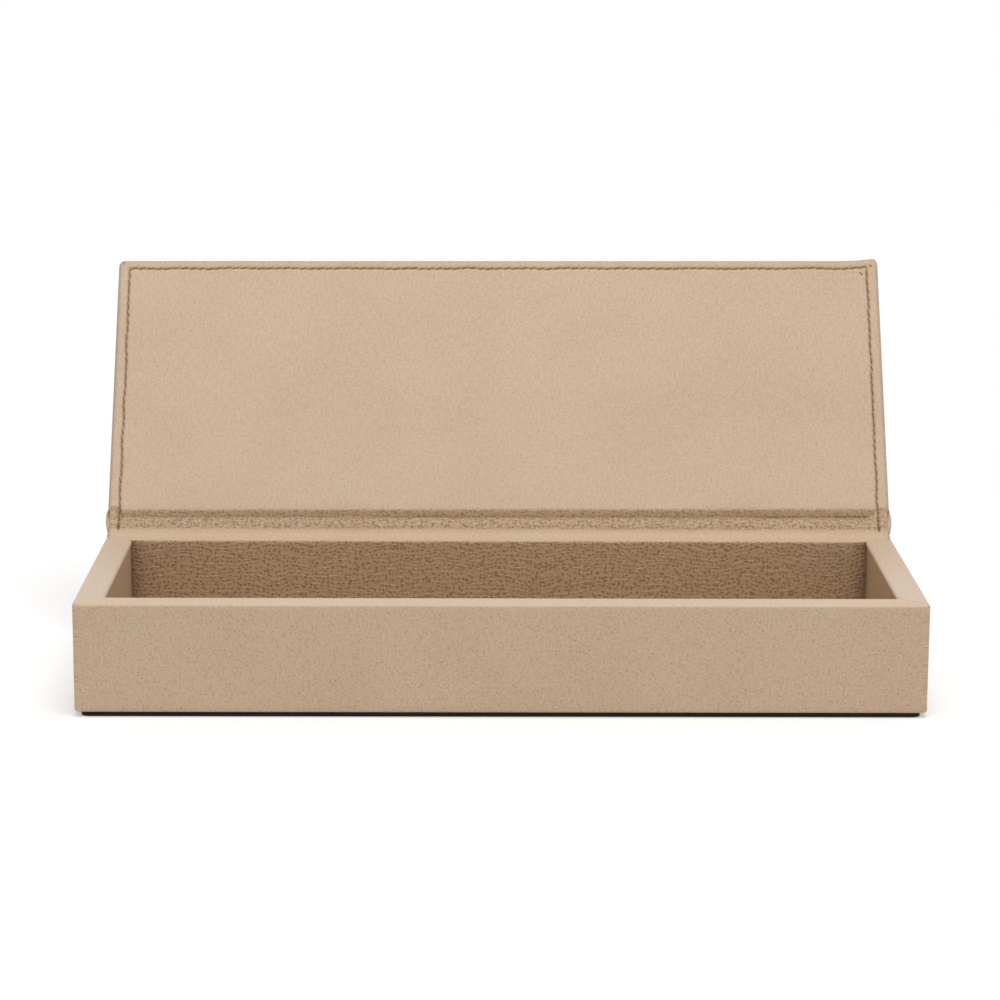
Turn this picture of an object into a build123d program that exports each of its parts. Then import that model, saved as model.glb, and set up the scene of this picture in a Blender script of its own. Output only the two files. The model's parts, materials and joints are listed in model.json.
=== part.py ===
from build123d import *
from math import acos, atan2, cos, degrees, floor, radians, sin, sqrt
import os

# A leather-covered pencil box, standing open on a table.
# The origin is the centre of the base on the table. X runs along the box, the front faces -Y and Z is up.
# Lengths are in millimetres and angles in degrees.

# The box
box_length = 260.0
box_depth = 98.0
box_height = 35.5
wall_board = 6.5
bottom_board = 3.0
board_rebate = 3.0
leather = 1.25

# Leather edges of the box
turn_under = 12.0
mitre_gap = 0.15
upright_radius = 1.6
spine_radius = 0.9
rim_outer_radius = 0.9
rim_inner_radius = 0.6
foot_radius = 0.9

# Underside
pad_thickness = 1.5
pad_inset = 2.0
pad_corner = 2.5
infill_gap = 0.5

# The lid, and how far the foot of its board stays inside the back of the box when it is shut
lid_foot_inset = 7.0
lid_overhang = 0.0
lid_board = 2.0
turn_in = 10.0
turn_in_thickness = 0.5
lid_gap = 0.3
lid_corner = 1.8
lid_edge_radius = 0.8
lid_fold_radius = 0.4
lid_foot_radius = 1.0
lining_inset = 0.5

# The hinge: leather that bends about an axis just above and behind the rim
axis_above_rim = 1.8
axis_behind_box = 0.3
open_angle = 122.5
cove_height = 1.9
cove_depth = 1.9

# The seam round three edges of the lid
seam_margin = 3.1
stitch_pitch = 2.9
stitch_length = 2.35
stitch_width = 0.7
stitch_height = 0.4
stitch_bevel = 0.2
groove_width = 1.0
groove_depth = 0.45

# How far a cutting tool runs past the piece it cuts
overrun = 1.0

# Planes of the box: half sizes outside, round the board cores, inside the cores and inside the lining
half_x = box_length / 2
half_y = box_depth / 2
core_x = half_x - leather
core_y = half_y - leather
board_x = core_x - wall_board
board_y = core_y - wall_board
mouth_x = board_x - leather
mouth_y = board_y - leather
wrap_foot = pad_thickness
wall_foot = wrap_foot + leather
wall_top = box_height - leather
lining_foot = wall_foot + bottom_board

# Planes of the shut lid, from the rim upwards
lid_front = -half_y - lid_overhang
lid_rear = half_y - lid_foot_inset
lining_low = box_height + lid_gap
fold_low = lining_low + leather
lid_board_low = fold_low + turn_in_thickness
cover_low = lid_board_low + lid_board
lid_top = cover_low + leather
seam_x = half_x - seam_margin
seam_y = lid_front + seam_margin

# Hinge axis, and the lean of the open lid from upright
axis_y = half_y + axis_behind_box
axis_z = box_height + axis_above_rim
lean = radians(open_angle - 90)


def block(x0, x1, y0, y1, z0, z1):
    """A rectangular solid between two corners."""
    return Pos(x0, y0, z0) * Box(x1 - x0, y1 - y0, z1 - z0, align=(Align.MIN, Align.MIN, Align.MIN))


def prism(points, z0, z1):
    """A plan outline raised from z0 to z1."""
    return Pos(0, 0, z0) * extrude(Polygon(*points, align=None), amount=z1 - z0)


def upright_edges(solid, y):
    """The upright edges of a solid that stand at one y."""
    return solid.edges().filter_by(Axis.Z).filter_by(lambda edge: abs(edge.center().Y - y) < 0.01)


def open_edges(solid, side, closed_y):
    """The outline edges of the top or bottom face, without the one along closed_y."""
    outline = solid.faces().sort_by(Axis.Z)[side].edges()
    return outline.filter_by(lambda edge: abs(edge.center().Y - closed_y) > 0.01)


def opened(solid):
    """Turn a piece of the shut lid about the hinge axis into the open pose."""
    return solid.rotate(Axis((0, axis_y, axis_z), (1, 0, 0)), -open_angle)


def opened_point(y, z):
    """Where a point of the shut lid's side view stands when the lid is open."""
    turn = radians(-open_angle)
    dy = y - axis_y
    dz = z - axis_z
    return (axis_y + dy * cos(turn) - dz * sin(turn), axis_z + dy * sin(turn) + dz * cos(turn))


# Underside and boards


def make_base_pad():
    """Dark suede sheet, set in from the outer faces."""
    outline = RectangleRounded(box_length - 2 * pad_inset, box_depth - 2 * pad_inset, pad_corner)
    return extrude(outline, amount=pad_thickness)


def make_base_infill():
    """Card that fills the space between the turned-under edges."""
    x = half_x - turn_under - infill_gap
    y = half_y - turn_under - infill_gap
    return block(-x, x, -y, y, wrap_foot, wall_foot)


def make_bottom_board():
    """Bottom board, let into the rebate of the four walls."""
    x = board_x + board_rebate
    y = board_y + board_rebate
    return block(-x, x, -y, y, wall_foot, lining_foot)


def make_wall(turn, half_length, outer, inner):
    """One board wall with mitred ends and a rebate for the bottom board."""
    depth = outer - inner
    outline = [
        (-half_length, -outer),
        (half_length, -outer),
        (half_length - depth, -inner),
        (-half_length + depth, -inner),
    ]
    wall = prism(outline, wall_foot, wall_top)
    return wall.rotate(Axis.Z, turn) - make_bottom_board()


# Leather of the box


def rear_mitre(z0, z1):
    """Everything behind the 45 degree lines through the two rear corners."""
    reach = 2 * turn_under
    inner_x = half_x - reach
    inner_y = half_y - reach
    outline = [
        (-inner_x, inner_y),
        (inner_x, inner_y),
        (half_x + overrun, half_y + overrun),
        (-half_x - overrun, half_y + overrun),
    ]
    return prism(outline, z0, z1)


def front_mitres(z0, z1):
    """The two narrow 45 degree seams through the front corners."""
    reach = 2 * turn_under
    slit = Box(reach, mitre_gap, z1 - z0, align=(Align.MAX, Align.CENTER, Align.MIN))
    run_out = overrun + upright_radius
    right = Pos(half_x + run_out, -half_y - run_out, z0) * Rot(0, 0, -45) * slit
    left = Pos(-half_x - run_out, -half_y - run_out, z0) * Rot(0, 0, -135) * slit
    return [right, left]


def make_outer_wrap():
    """One band round left, front and right, over the rim and turned under the walls."""
    wrap = block(-half_x, half_x, -half_y, core_y, wrap_foot, box_height)
    wrap = fillet(upright_edges(wrap, -half_y), upright_radius)
    wrap = fillet(open_edges(wrap, -1, core_y), rim_outer_radius)
    wrap = fillet(open_edges(wrap, 0, core_y), foot_radius)
    wrap -= block(-core_x, core_x, -core_y, core_y + overrun, wall_foot, wall_top)
    wrap -= block(-mouth_x, mouth_x, -mouth_y, half_y, wall_foot, box_height + overrun)
    rim_edges = wrap.edges().filter_by(lambda edge: abs(edge.center().Z - box_height) < 0.01)
    side_edges = rim_edges.filter_by(Axis.Y).filter_by(lambda edge: abs(abs(edge.center().X) - mouth_x) < 0.01)
    front_edge = rim_edges.filter_by(Axis.X).filter_by(lambda edge: abs(edge.center().Y + mouth_y) < 0.01)
    wrap = fillet(side_edges + front_edge, rim_inner_radius)
    window_x = half_x - turn_under
    window_y = half_y - turn_under
    wrap -= block(-window_x, window_x, -window_y, half_y, 0, wall_foot)
    wrap -= rear_mitre(wall_top, box_height + overrun)
    wrap -= rear_mitre(0, wall_foot)
    for seam in front_mitres(wall_top, box_height + overrun) + front_mitres(0, wall_foot):
        wrap -= seam
    return wrap


def make_spine_cover():
    """Leather on the rear wall, turned under with mitred ends."""
    spine = block(-half_x, half_x, core_y, half_y, wrap_foot, box_height)
    spine = fillet(upright_edges(spine, half_y), spine_radius)
    spine = fillet(open_edges(spine, 0, core_y), foot_radius)
    inner_x = half_x - turn_under
    inner_y = half_y - turn_under
    turned = [(-inner_x, inner_y), (inner_x, inner_y), (core_x, core_y), (-core_x, core_y)]
    return spine + prism(turned, wrap_foot, wall_foot)


def make_front_lining():
    """Leather inside the front wall, from corner to corner."""
    return block(-board_x, board_x, -board_y, -mouth_y, lining_foot, wall_top)


def make_side_lining(side):
    """Leather inside a side wall, between the front and rear linings."""
    middle = side * (board_x + mouth_x) / 2
    return block(middle - leather / 2, middle + leather / 2, -mouth_y, mouth_y, lining_foot, wall_top)


def make_rear_lining():
    """Leather inside the rear wall, carried over the rear rim with mitred ends."""
    panel = block(-board_x, board_x, mouth_y, board_y, lining_foot, wall_top)
    rim = [(-mouth_x, mouth_y), (mouth_x, mouth_y), (core_x, core_y), (-core_x, core_y)]
    rim_flap = prism(rim, wall_top, box_height)
    inner_edge = rim_flap.edges().filter_by(Axis.X).filter_by(
        lambda edge: abs(edge.center().Y - mouth_y) < 0.01 and abs(edge.center().Z - box_height) < 0.01
    )
    return panel + fillet(inner_edge, rim_inner_radius)


def make_floor_lining():
    """Leather on the bottom board, between the wall linings."""
    return block(-mouth_x, mouth_x, -mouth_y, mouth_y, lining_foot, lining_foot + leather)


# Lid, modelled shut


def seam_grooves(z0, z1):
    """The pressed line that the stitches lie in: two sides and the free edge."""
    half = groove_width / 2
    free_edge = block(-seam_x - half, seam_x + half, seam_y - half, seam_y + half, z0, z1)
    right = block(seam_x - half, seam_x + half, seam_y, lid_rear + overrun, z0, z1)
    left = block(-seam_x - half, -seam_x + half, seam_y, lid_rear + overrun, z0, z1)
    return [free_edge, right, left]


def make_foot_wrap():
    """The part of the lining that goes round the foot of the lid board."""
    return block(-core_x, core_x, lid_rear - leather, lid_rear, fold_low, cover_low)


def make_lid_cover():
    """Outer leather, turned in round the free edge and both sides."""
    cover = block(-half_x, half_x, lid_front, lid_rear, fold_low, lid_top)
    cover = fillet(upright_edges(cover, lid_front), lid_corner)
    cover = fillet(open_edges(cover, -1, lid_rear), lid_edge_radius)
    cover = fillet(open_edges(cover, 0, lid_rear), lid_fold_radius)
    cover -= block(-core_x, core_x, lid_front + leather, lid_rear + overrun, lid_board_low, cover_low)
    window_x = half_x - turn_in
    cover -= block(-window_x, window_x, lid_front + turn_in, lid_rear + overrun, lining_low, lid_board_low)
    cover -= make_foot_wrap()
    for groove in seam_grooves(lid_top - groove_depth, lid_top + overrun):
        cover -= groove
    return cover


def make_lid_board():
    """Stiff board inside the lid."""
    return block(-core_x, core_x, lid_front + leather, lid_rear - leather, lid_board_low, cover_low)


def make_lid_infill():
    """Card that levels the board between the turned-in edges."""
    x = half_x - turn_in - infill_gap
    return block(-x, x, lid_front + turn_in + infill_gap, lid_rear - leather, fold_low, lid_board_low)


def make_lid_lining():
    """Inner leather, a little smaller than the lid, carried round the foot of the board."""
    x = half_x - lining_inset
    y = lid_front + lining_inset
    sheet = block(-x, x, y, lid_rear, lining_low, fold_low)
    sheet = fillet(upright_edges(sheet, y), lid_corner - lining_inset)
    foot_edge = sheet.edges().filter_by(Axis.X).filter_by(
        lambda edge: abs(edge.center().Y - lid_rear) < 0.01 and abs(edge.center().Z - lining_low) < 0.01
    )
    sheet = fillet(foot_edge, lid_foot_radius)
    lining = sheet + make_foot_wrap()
    for groove in seam_grooves(lining_low - overrun, lining_low + groove_depth):
        lining -= groove
    return lining


def stitch_centres(start, end):
    """Middles of the stitches that fit between two points of a run, evenly about its middle."""
    count = floor((end - start) / stitch_pitch)
    first = (start + end - (count - 1) * stitch_pitch) / 2
    return [first + index * stitch_pitch for index in range(count)]


def make_stitch():
    """One stitch along X: a bar with a flat underside on z = 0 and bevelled shoulders."""
    half = stitch_width / 2
    section = [
        (-half, 0),
        (half, 0),
        (half, stitch_height - stitch_bevel),
        (half - stitch_bevel, stitch_height),
        (-half + stitch_bevel, stitch_height),
        (-half, stitch_height - stitch_bevel),
    ]
    return extrude(Plane.YZ * Polygon(*section, align=None), amount=stitch_length / 2, both=True)


def make_seam(z, up):
    """All stitches on one face of the shut lid, lying in the groove whose floor is at z."""
    flat = make_stitch() if up else Rot(180, 0, 0) * make_stitch()
    stitches = [Pos(x, seam_y, z) * flat for x in stitch_centres(-seam_x, seam_x)]
    for y in stitch_centres(seam_y + groove_width / 2, lid_rear):
        for x in (-seam_x, seam_x):
            stitches.append(Pos(x, y, z) * Rot(0, 0, 90) * flat)
    return Compound(children=[opened(stitch) for stitch in stitches])


# Hinge: two leathers glued back to back, bent into an S between the rear rim and the lid


def hinge_bend():
    """Radius and turn of the first of two equal arcs from the upright spine to the leaning lid.

    The glue line starts upright at the back of the rim, turns back through the angle found
    here, and turns up again on an arc of the same radius until it has the lean of the lid.
    """
    end_y, end_z = opened_point(lid_rear, cover_low)
    run = end_y - core_y
    rise = end_z - box_height
    ratio = run / rise
    target = (1 + cos(lean) + ratio * sin(lean)) / (2 * sqrt(ratio * ratio + 1))
    turn = atan2(ratio, 1) + acos(target)
    return rise / (2 * sin(turn) - sin(lean)), turn


bend_radius, bend_turn = hinge_bend()
first_arc = bend_radius * bend_turn
glue_line = first_arc + bend_radius * (bend_turn - lean)


def strip_point(along, out):
    """Point of the hinge's side view, along the glue line and out from it towards the back."""
    centre_y = core_y + bend_radius
    if along <= first_arc:
        turn = along / bend_radius
        radius = bend_radius - out
        return (centre_y - radius * cos(turn), box_height + radius * sin(turn))
    turn = bend_turn - (along - first_arc) / bend_radius
    centre_y -= 2 * bend_radius * cos(bend_turn)
    centre_z = box_height + 2 * bend_radius * sin(bend_turn)
    radius = bend_radius + out
    return (centre_y + radius * cos(turn), centre_z - radius * sin(turn))


def strip_line(start, end, out):
    """Arcs that follow the glue line at one distance from it."""
    stops = [start, end]
    if start < first_arc < end:
        stops = [start, first_arc, end]
    arcs = []
    for low, high in zip(stops, stops[1:]):
        arcs.append(ThreePointArc(strip_point(low, out), strip_point((low + high) / 2, out), strip_point(high, out)))
    return arcs


def strip_face(start, end, inner, outer):
    """Side view of a stretch of the hinge between two distances from the glue line."""
    edges = strip_line(start, end, inner) + strip_line(start, end, outer)
    edges.append(Line(strip_point(start, inner), strip_point(start, outer)))
    edges.append(Line(strip_point(end, inner), strip_point(end, outer)))
    return make_face(edges)


def across(face, half_width, x=0.0):
    """Extend a side view to both sides of x."""
    return Pos(x, 0, 0) * extrude(Plane.YZ * face, amount=half_width, both=True)


def hinge_grooves(inner, outer):
    """The pressed line of the side seams, carried on through the hinge."""
    face = strip_face(0, glue_line, inner, outer)
    return [across(face, groove_width / 2, x) for x in (-seam_x, seam_x)]


def make_hinge_cover():
    """Outer leather between the spine and the lid."""
    cover = across(strip_face(0, glue_line, 0, leather), half_x)
    for groove in hinge_grooves(leather - groove_depth, leather + overrun):
        cover -= groove
    return cover


def make_hinge_lining():
    """Inner leather between the rear rim and the lid, with the hollow curve by which it leaves the rim."""
    half_width = half_x - lining_inset
    strip = across(strip_face(0, glue_line, -leather, 0), half_width)
    for groove in hinge_grooves(-leather - overrun, groove_depth - leather):
        strip -= groove
    low = strip_point(0, -leather)
    high = strip_point(cove_height, -leather)
    rim = (low[0] - cove_depth, box_height)
    fall = (high[0] - bend_radius - core_y, high[1] - box_height)
    tangent = (-fall[1], fall[0])
    hollow = [
        TangentArc(high, rim, tangent=tangent),
        Line(rim, low),
        ThreePointArc(low, strip_point(cove_height / 2, -leather), high),
    ]
    return strip + across(make_face(hollow), half_width)


def make_hinge_thread():
    """The last stitches of both side seams, on both faces of the hinge."""
    foot = cove_height
    stitches = []
    for middle in stitch_centres(foot, glue_line):
        low = middle - stitch_length / 2
        high = middle + stitch_length / 2
        inner = strip_face(low, high, groove_depth - leather - stitch_height, groove_depth - leather)
        outer = strip_face(low, high, leather - groove_depth, leather - groove_depth + stitch_height)
        for x in (-seam_x, seam_x):
            stitches.append(across(inner, stitch_width / 2, x))
            stitches.append(across(outer, stitch_width / 2, x))
    return Compound(children=stitches)


pieces = {
    "base_pad": make_base_pad(),
    "base_infill": make_base_infill(),
    "bottom_board": make_bottom_board(),
    "front_wall": make_wall(0, core_x, core_y, board_y),
    "rear_wall": make_wall(180, core_x, core_y, board_y),
    "left_wall": make_wall(270, core_y, core_x, board_x),
    "right_wall": make_wall(90, core_y, core_x, board_x),
    "outer_wrap": make_outer_wrap(),
    "spine_cover": make_spine_cover(),
    "front_lining": make_front_lining(),
    "left_lining": make_side_lining(-1),
    "right_lining": make_side_lining(1),
    "rear_lining": make_rear_lining(),
    "floor_lining": make_floor_lining(),
    "hinge_cover": make_hinge_cover(),
    "hinge_lining": make_hinge_lining(),
    "hinge_thread": make_hinge_thread(),
    "lid_cover": opened(make_lid_cover()),
    "lid_board": opened(make_lid_board()),
    "lid_infill": opened(make_lid_infill()),
    "lid_lining": opened(make_lid_lining()),
    "lid_inner_thread": make_seam(lining_low + groove_depth, False),
    "lid_outer_thread": make_seam(lid_top - groove_depth, True),
}

os.makedirs("parts", exist_ok=True)
for name, shape in pieces.items():
    export_step(shape, f"parts/{name}.step")

print("hinge axis y", round(axis_y, 3), "z", round(axis_z, 3))
print("hinge bend radius", round(bend_radius, 3), "turn", round(degrees(bend_turn), 2), "length", round(glue_line, 2))
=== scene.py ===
# %% [markdown]
# # A leather pencil box
#
# The real object is a long, low box of board covered in grained calf. One sheet of leather is
# glued up the back, bends as the hinge and goes on as the outside of the lid; a second sheet
# lines the lid and runs down through the hinge, over the rear rim and into the box. A seam in
# brown thread holds both sheets together round three edges of the lid.
#
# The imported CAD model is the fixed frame. It could be dressed by changing its meshes, but they
# must stay as they are, so each visible leather is made new as a surface worked out with numpy
# in the place that its CAD node holds, and the CAD node is hidden behind it.

# %% Load the frame
import json
from math import cos, pi, radians, sin, sqrt

import bmesh
import bpy
import numpy as np
from mathutils import Matrix, Vector


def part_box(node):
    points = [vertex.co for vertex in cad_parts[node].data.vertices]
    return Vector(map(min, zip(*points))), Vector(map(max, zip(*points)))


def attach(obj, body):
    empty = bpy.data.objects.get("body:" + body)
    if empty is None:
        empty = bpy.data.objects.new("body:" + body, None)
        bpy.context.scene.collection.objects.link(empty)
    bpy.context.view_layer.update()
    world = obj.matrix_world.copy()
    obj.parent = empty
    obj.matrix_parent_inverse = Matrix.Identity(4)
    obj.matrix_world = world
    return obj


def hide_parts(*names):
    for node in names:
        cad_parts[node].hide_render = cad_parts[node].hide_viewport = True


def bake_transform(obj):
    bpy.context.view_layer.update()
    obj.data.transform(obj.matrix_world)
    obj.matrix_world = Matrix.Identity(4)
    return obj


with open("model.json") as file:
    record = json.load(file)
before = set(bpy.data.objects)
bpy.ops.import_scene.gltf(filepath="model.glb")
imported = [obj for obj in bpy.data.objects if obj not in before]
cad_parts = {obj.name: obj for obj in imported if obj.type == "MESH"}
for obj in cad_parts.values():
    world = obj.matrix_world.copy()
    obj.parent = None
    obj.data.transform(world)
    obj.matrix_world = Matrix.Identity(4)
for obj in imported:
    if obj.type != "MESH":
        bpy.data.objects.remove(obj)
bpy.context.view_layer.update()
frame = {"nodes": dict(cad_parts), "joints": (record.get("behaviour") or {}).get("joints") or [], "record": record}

nodes = frame["nodes"]

# %% [markdown]
# ## Sizes
#
# Leather work is measured in millimetres, so every shape below is worked out in millimetres and
# turned into metres only when its mesh is made. The planes of the box are read from the CAD
# nodes, because a number that is written twice is sooner or later wrong in one of the places.

# %% Planes of the box, read from the frame
MM = 1000.0


def planes(node):
    """Lowest and highest corner of a CAD node, in millimetres."""
    low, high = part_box(node)
    return np.array(low) * MM, np.array(high) * MM


wrap_low, wrap_high = planes("outer_wrap")
side_low, side_high = planes("right_lining")
floor_top = planes("floor_lining")[1][2]
pad_high = planes("base_pad")[1]
infill_gap = 0.5
half_x, half_y = wrap_high[0], -wrap_low[1]
foot, rim = wrap_low[2], wrap_high[2]
leather = side_high[0] - side_low[0]
mouth_x, mouth_y = side_low[0], side_high[1]
board_x = side_high[0]
core_x, core_y = half_x - leather, half_y - leather
lining_foot = side_low[2]
rim_under = rim - leather
turn_under = half_x - planes("base_infill")[1][0] - infill_gap
print("half length", round(half_x, 2), "half depth", round(half_y, 2), "rim", round(rim, 2))
print("leather", round(leather, 2), "mouth", round(mouth_x, 2), round(mouth_y, 2))

# %% The hinge and the planes of the shut lid
lid_foot_inset = 7.0
lid_gap = 0.3
lid_board = 2.0
turned_edge = 0.5
lining_inset = 0.5
seam_margin = 3.1
joint = frame["joints"][0]
axis_y, axis_z = joint["pos_m"][1] * MM, joint["pos_m"][2] * MM
open_angle = radians(-joint["range_deg"][0])
lean = open_angle - pi / 2
lid_front, lid_rear = -half_y, half_y - lid_foot_inset
lining_low = rim + lid_gap
fold_low = lining_low + leather
lid_board_low = fold_low + turned_edge
cover_low = lid_board_low + lid_board
lid_top = cover_low + leather
seam_y = lid_front + seam_margin
slide_by = 0.78
ear_by = 0.95


def opened(points):
    """Turn points of the shut lid about the hinge axis into the open pose.

    In the side view each point keeps its distance from the axis and goes round it by the
    opening angle; x doesn't change."""
    y = points[..., 1] - axis_y
    z = points[..., 2] - axis_z
    c, s = cos(-open_angle), sin(-open_angle)
    return np.stack([points[..., 0], axis_y + y * c - z * s, axis_z + y * s + z * c], axis=-1)


def askew(points):
    """The soft hinge lets the lid hang a little crooked: its points slide towards the foot in
    proportion to the distance from the right edge, and the right free corner stands out a
    little, on a smooth step along each direction."""
    moved = np.array(points, float)
    x, y = moved[..., 0], moved[..., 1]
    slid = slide_by * (half_x - x) / (2 * half_x)
    ear = np.clip((x - 117.0) / 12.0, 0.0, 1.0) ** 2 * np.clip((-34.0 - y) / 10.0, 0.0, 1.0) ** 2
    moved[..., 1] = y + slid - ear_by * ear
    return moved


print("hinge axis at", axis_y, axis_z, "open angle", round(np.degrees(open_angle), 1))

# %% [markdown]
# ## Camera
#
# The photograph was taken with a long lens from a little above the box, almost straight on. The
# place and the turn of the camera were found by matching the edges of the CAD box with the edges
# in the photograph. The camera has no shift and no depth of field.

# %% Camera from the fit
camera_place = (-0.009446, -0.990691, 0.262971)
camera_down = radians(11.712)
camera_turn = radians(0.535)
camera_roll = radians(0.233)
focal_pixels = 3203.08
image_pixels = 1000.0
sensor = 36.0

level = cos(camera_down)
ahead = Vector((sin(camera_turn) * level, cos(camera_turn) * level, -sin(camera_down)))
right = Vector((cos(camera_turn), -sin(camera_turn), 0.0))
up = right.cross(ahead)
rolled_right = cos(camera_roll) * right + sin(camera_roll) * up
rolled_up = cos(camera_roll) * up - sin(camera_roll) * right
camera_data = bpy.data.cameras.new("camera")
camera_data.sensor_width = sensor
camera_data.lens = focal_pixels / image_pixels * sensor
camera_data.clip_start = 0.05
camera_data.clip_end = 50.0
camera = bpy.data.objects.new("camera", camera_data)
bpy.context.scene.collection.objects.link(camera)
turn = Matrix((rolled_right, rolled_up, -ahead)).transposed().to_4x4()
camera.matrix_world = Matrix.Translation(camera_place) @ turn
bpy.context.scene.camera = camera
print("lens", round(camera_data.lens, 2), "mm")

# %% [markdown]
# ## Leather
#
# The leather is calf with a pressed pebble grain. Where it is pulled tight over board it looks
# almost smooth and only small dark pits show; where it is slack, as on the inside of the rear
# wall and in the hinge, the pits stand in wavy rows with pale ridges between them. An image of
# leather would show it too, but a pattern that is computed stays sharp at any distance and has no
# tiles that repeat. Every piece carries a UV map in millimetres along and across its own surface,
# so the grain bends round edges with the leather, and fields of numbers at its points say how
# strong rows, pits and streaks are there, where the leather is worn or pressed by a seam, and
# where its colour is painted paler, greyer or darker to stand in for sheen and shade.

# %% Shader nodes
def node(tree, kind, inputs=(), **settings):
    """A shader node with its settings. Each input is linked to a socket or set to a value."""
    made = tree.nodes.new(kind)
    for key, value in settings.items():
        setattr(made, key, value)
    for place, value in inputs:
        if isinstance(value, bpy.types.NodeSocket):
            tree.links.new(value, made.inputs[place])
        else:
            made.inputs[place].default_value = value
    return made


def maths(tree, operation, *values):
    """A Math node on sockets or numbers."""
    return node(tree, "ShaderNodeMath", enumerate(values), operation=operation).outputs[0]


def times(tree, first, *others):
    """The product of sockets and numbers."""
    for other in others:
        first = maths(tree, "MULTIPLY", first, other)
    return first


def vectors(tree, operation, *values):
    """A Vector Math node on sockets or triples."""
    return node(tree, "ShaderNodeVectorMath", enumerate(values), operation=operation).outputs[0]


def step(tree, value, low, high, out_low=0.0, out_high=1.0):
    """A smooth step of a socket between two limits."""
    limits = enumerate((value, low, high, out_low, out_high))
    return node(tree, "ShaderNodeMapRange", limits, interpolation_type="SMOOTHSTEP").outputs[0]


def mix_colour(tree, share, first, second):
    """A colour between two others."""
    inputs = ((0, share), (6, first), (7, second))
    return node(tree, "ShaderNodeMix", inputs, data_type="RGBA").outputs[2]


def field(tree, name):
    """A field of numbers that the piece carries at its points."""
    return node(tree, "ShaderNodeAttribute", attribute_name=name).outputs["Fac"]


def noise(tree, vector, scale, detail, output=0):
    """Two-dimensional noise on a vector socket."""
    inputs = ((0, vector), ("Scale", scale), ("Detail", detail))
    return node(tree, "ShaderNodeTexNoise", inputs, noise_dimensions="2D").outputs[output]


def blots(tree, vector, scale, uneven, size, soft):
    """Round blots about scattered points: a step where the distance falls below the size."""
    inputs = ((0, vector), ("Scale", scale), ("Randomness", uneven))
    made = node(tree, "ShaderNodeTexVoronoi", inputs, voronoi_dimensions="2D", feature="F1")
    return step(tree, maths(tree, "SUBTRACT", size, made.outputs["Distance"]), *soft)


def stretched(tree, vector, scale):
    """A vector scaled by its own factor in each direction."""
    return node(tree, "ShaderNodeMapping", ((0, vector), ("Scale", scale))).outputs[0]


def warped(tree, vector, scale, amount):
    """A vector moved about by noise: the noise colour less one half, times the amount."""
    centred = vectors(tree, "SUBTRACT", noise(tree, vector, scale, 1.0, 1), (0.5, 0.5, 0.5))
    return vectors(tree, "ADD", vector, vectors(tree, "MULTIPLY", centred, amount))


def new_material(name):
    """An empty node material with its Principled shader."""
    material = bpy.data.materials.new(name)
    material.use_nodes = True
    tree = material.node_tree
    tree.nodes.clear()
    shader = tree.nodes.new("ShaderNodeBsdfPrincipled")
    tree.links.new(shader.outputs[0], tree.nodes.new("ShaderNodeOutputMaterial").inputs[0])
    return material, tree, shader


def finish_shader(tree, shader, colour, height, distance, rough, **settings):
    """Give a shader its colour and roughness, sockets or values, and bumps of a height pattern
    over a distance in metres."""
    bump = node(tree, "ShaderNodeBump", (("Height", height), ("Distance", distance)))
    tree.links.new(colour, shader.inputs["Base Color"])
    tree.links.new(bump.outputs[0], shader.inputs["Normal"])
    if isinstance(rough, float):
        shader.inputs["Roughness"].default_value = rough
    else:
        tree.links.new(rough, shader.inputs["Roughness"])
    for name, value in settings.items():
        shader.inputs[name.replace("_", " ")].default_value = value


def linear(red, green, blue):
    """A colour given as it looks on screen, 0 to 255, as the linear value a shader takes."""
    seen = np.array([red, green, blue]) / 255.0
    value = np.where(seen <= 0.04045, seen / 12.92, ((seen + 0.055) / 1.055) ** 2.4)
    return (*[float(part) for part in value], 1.0)


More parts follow.
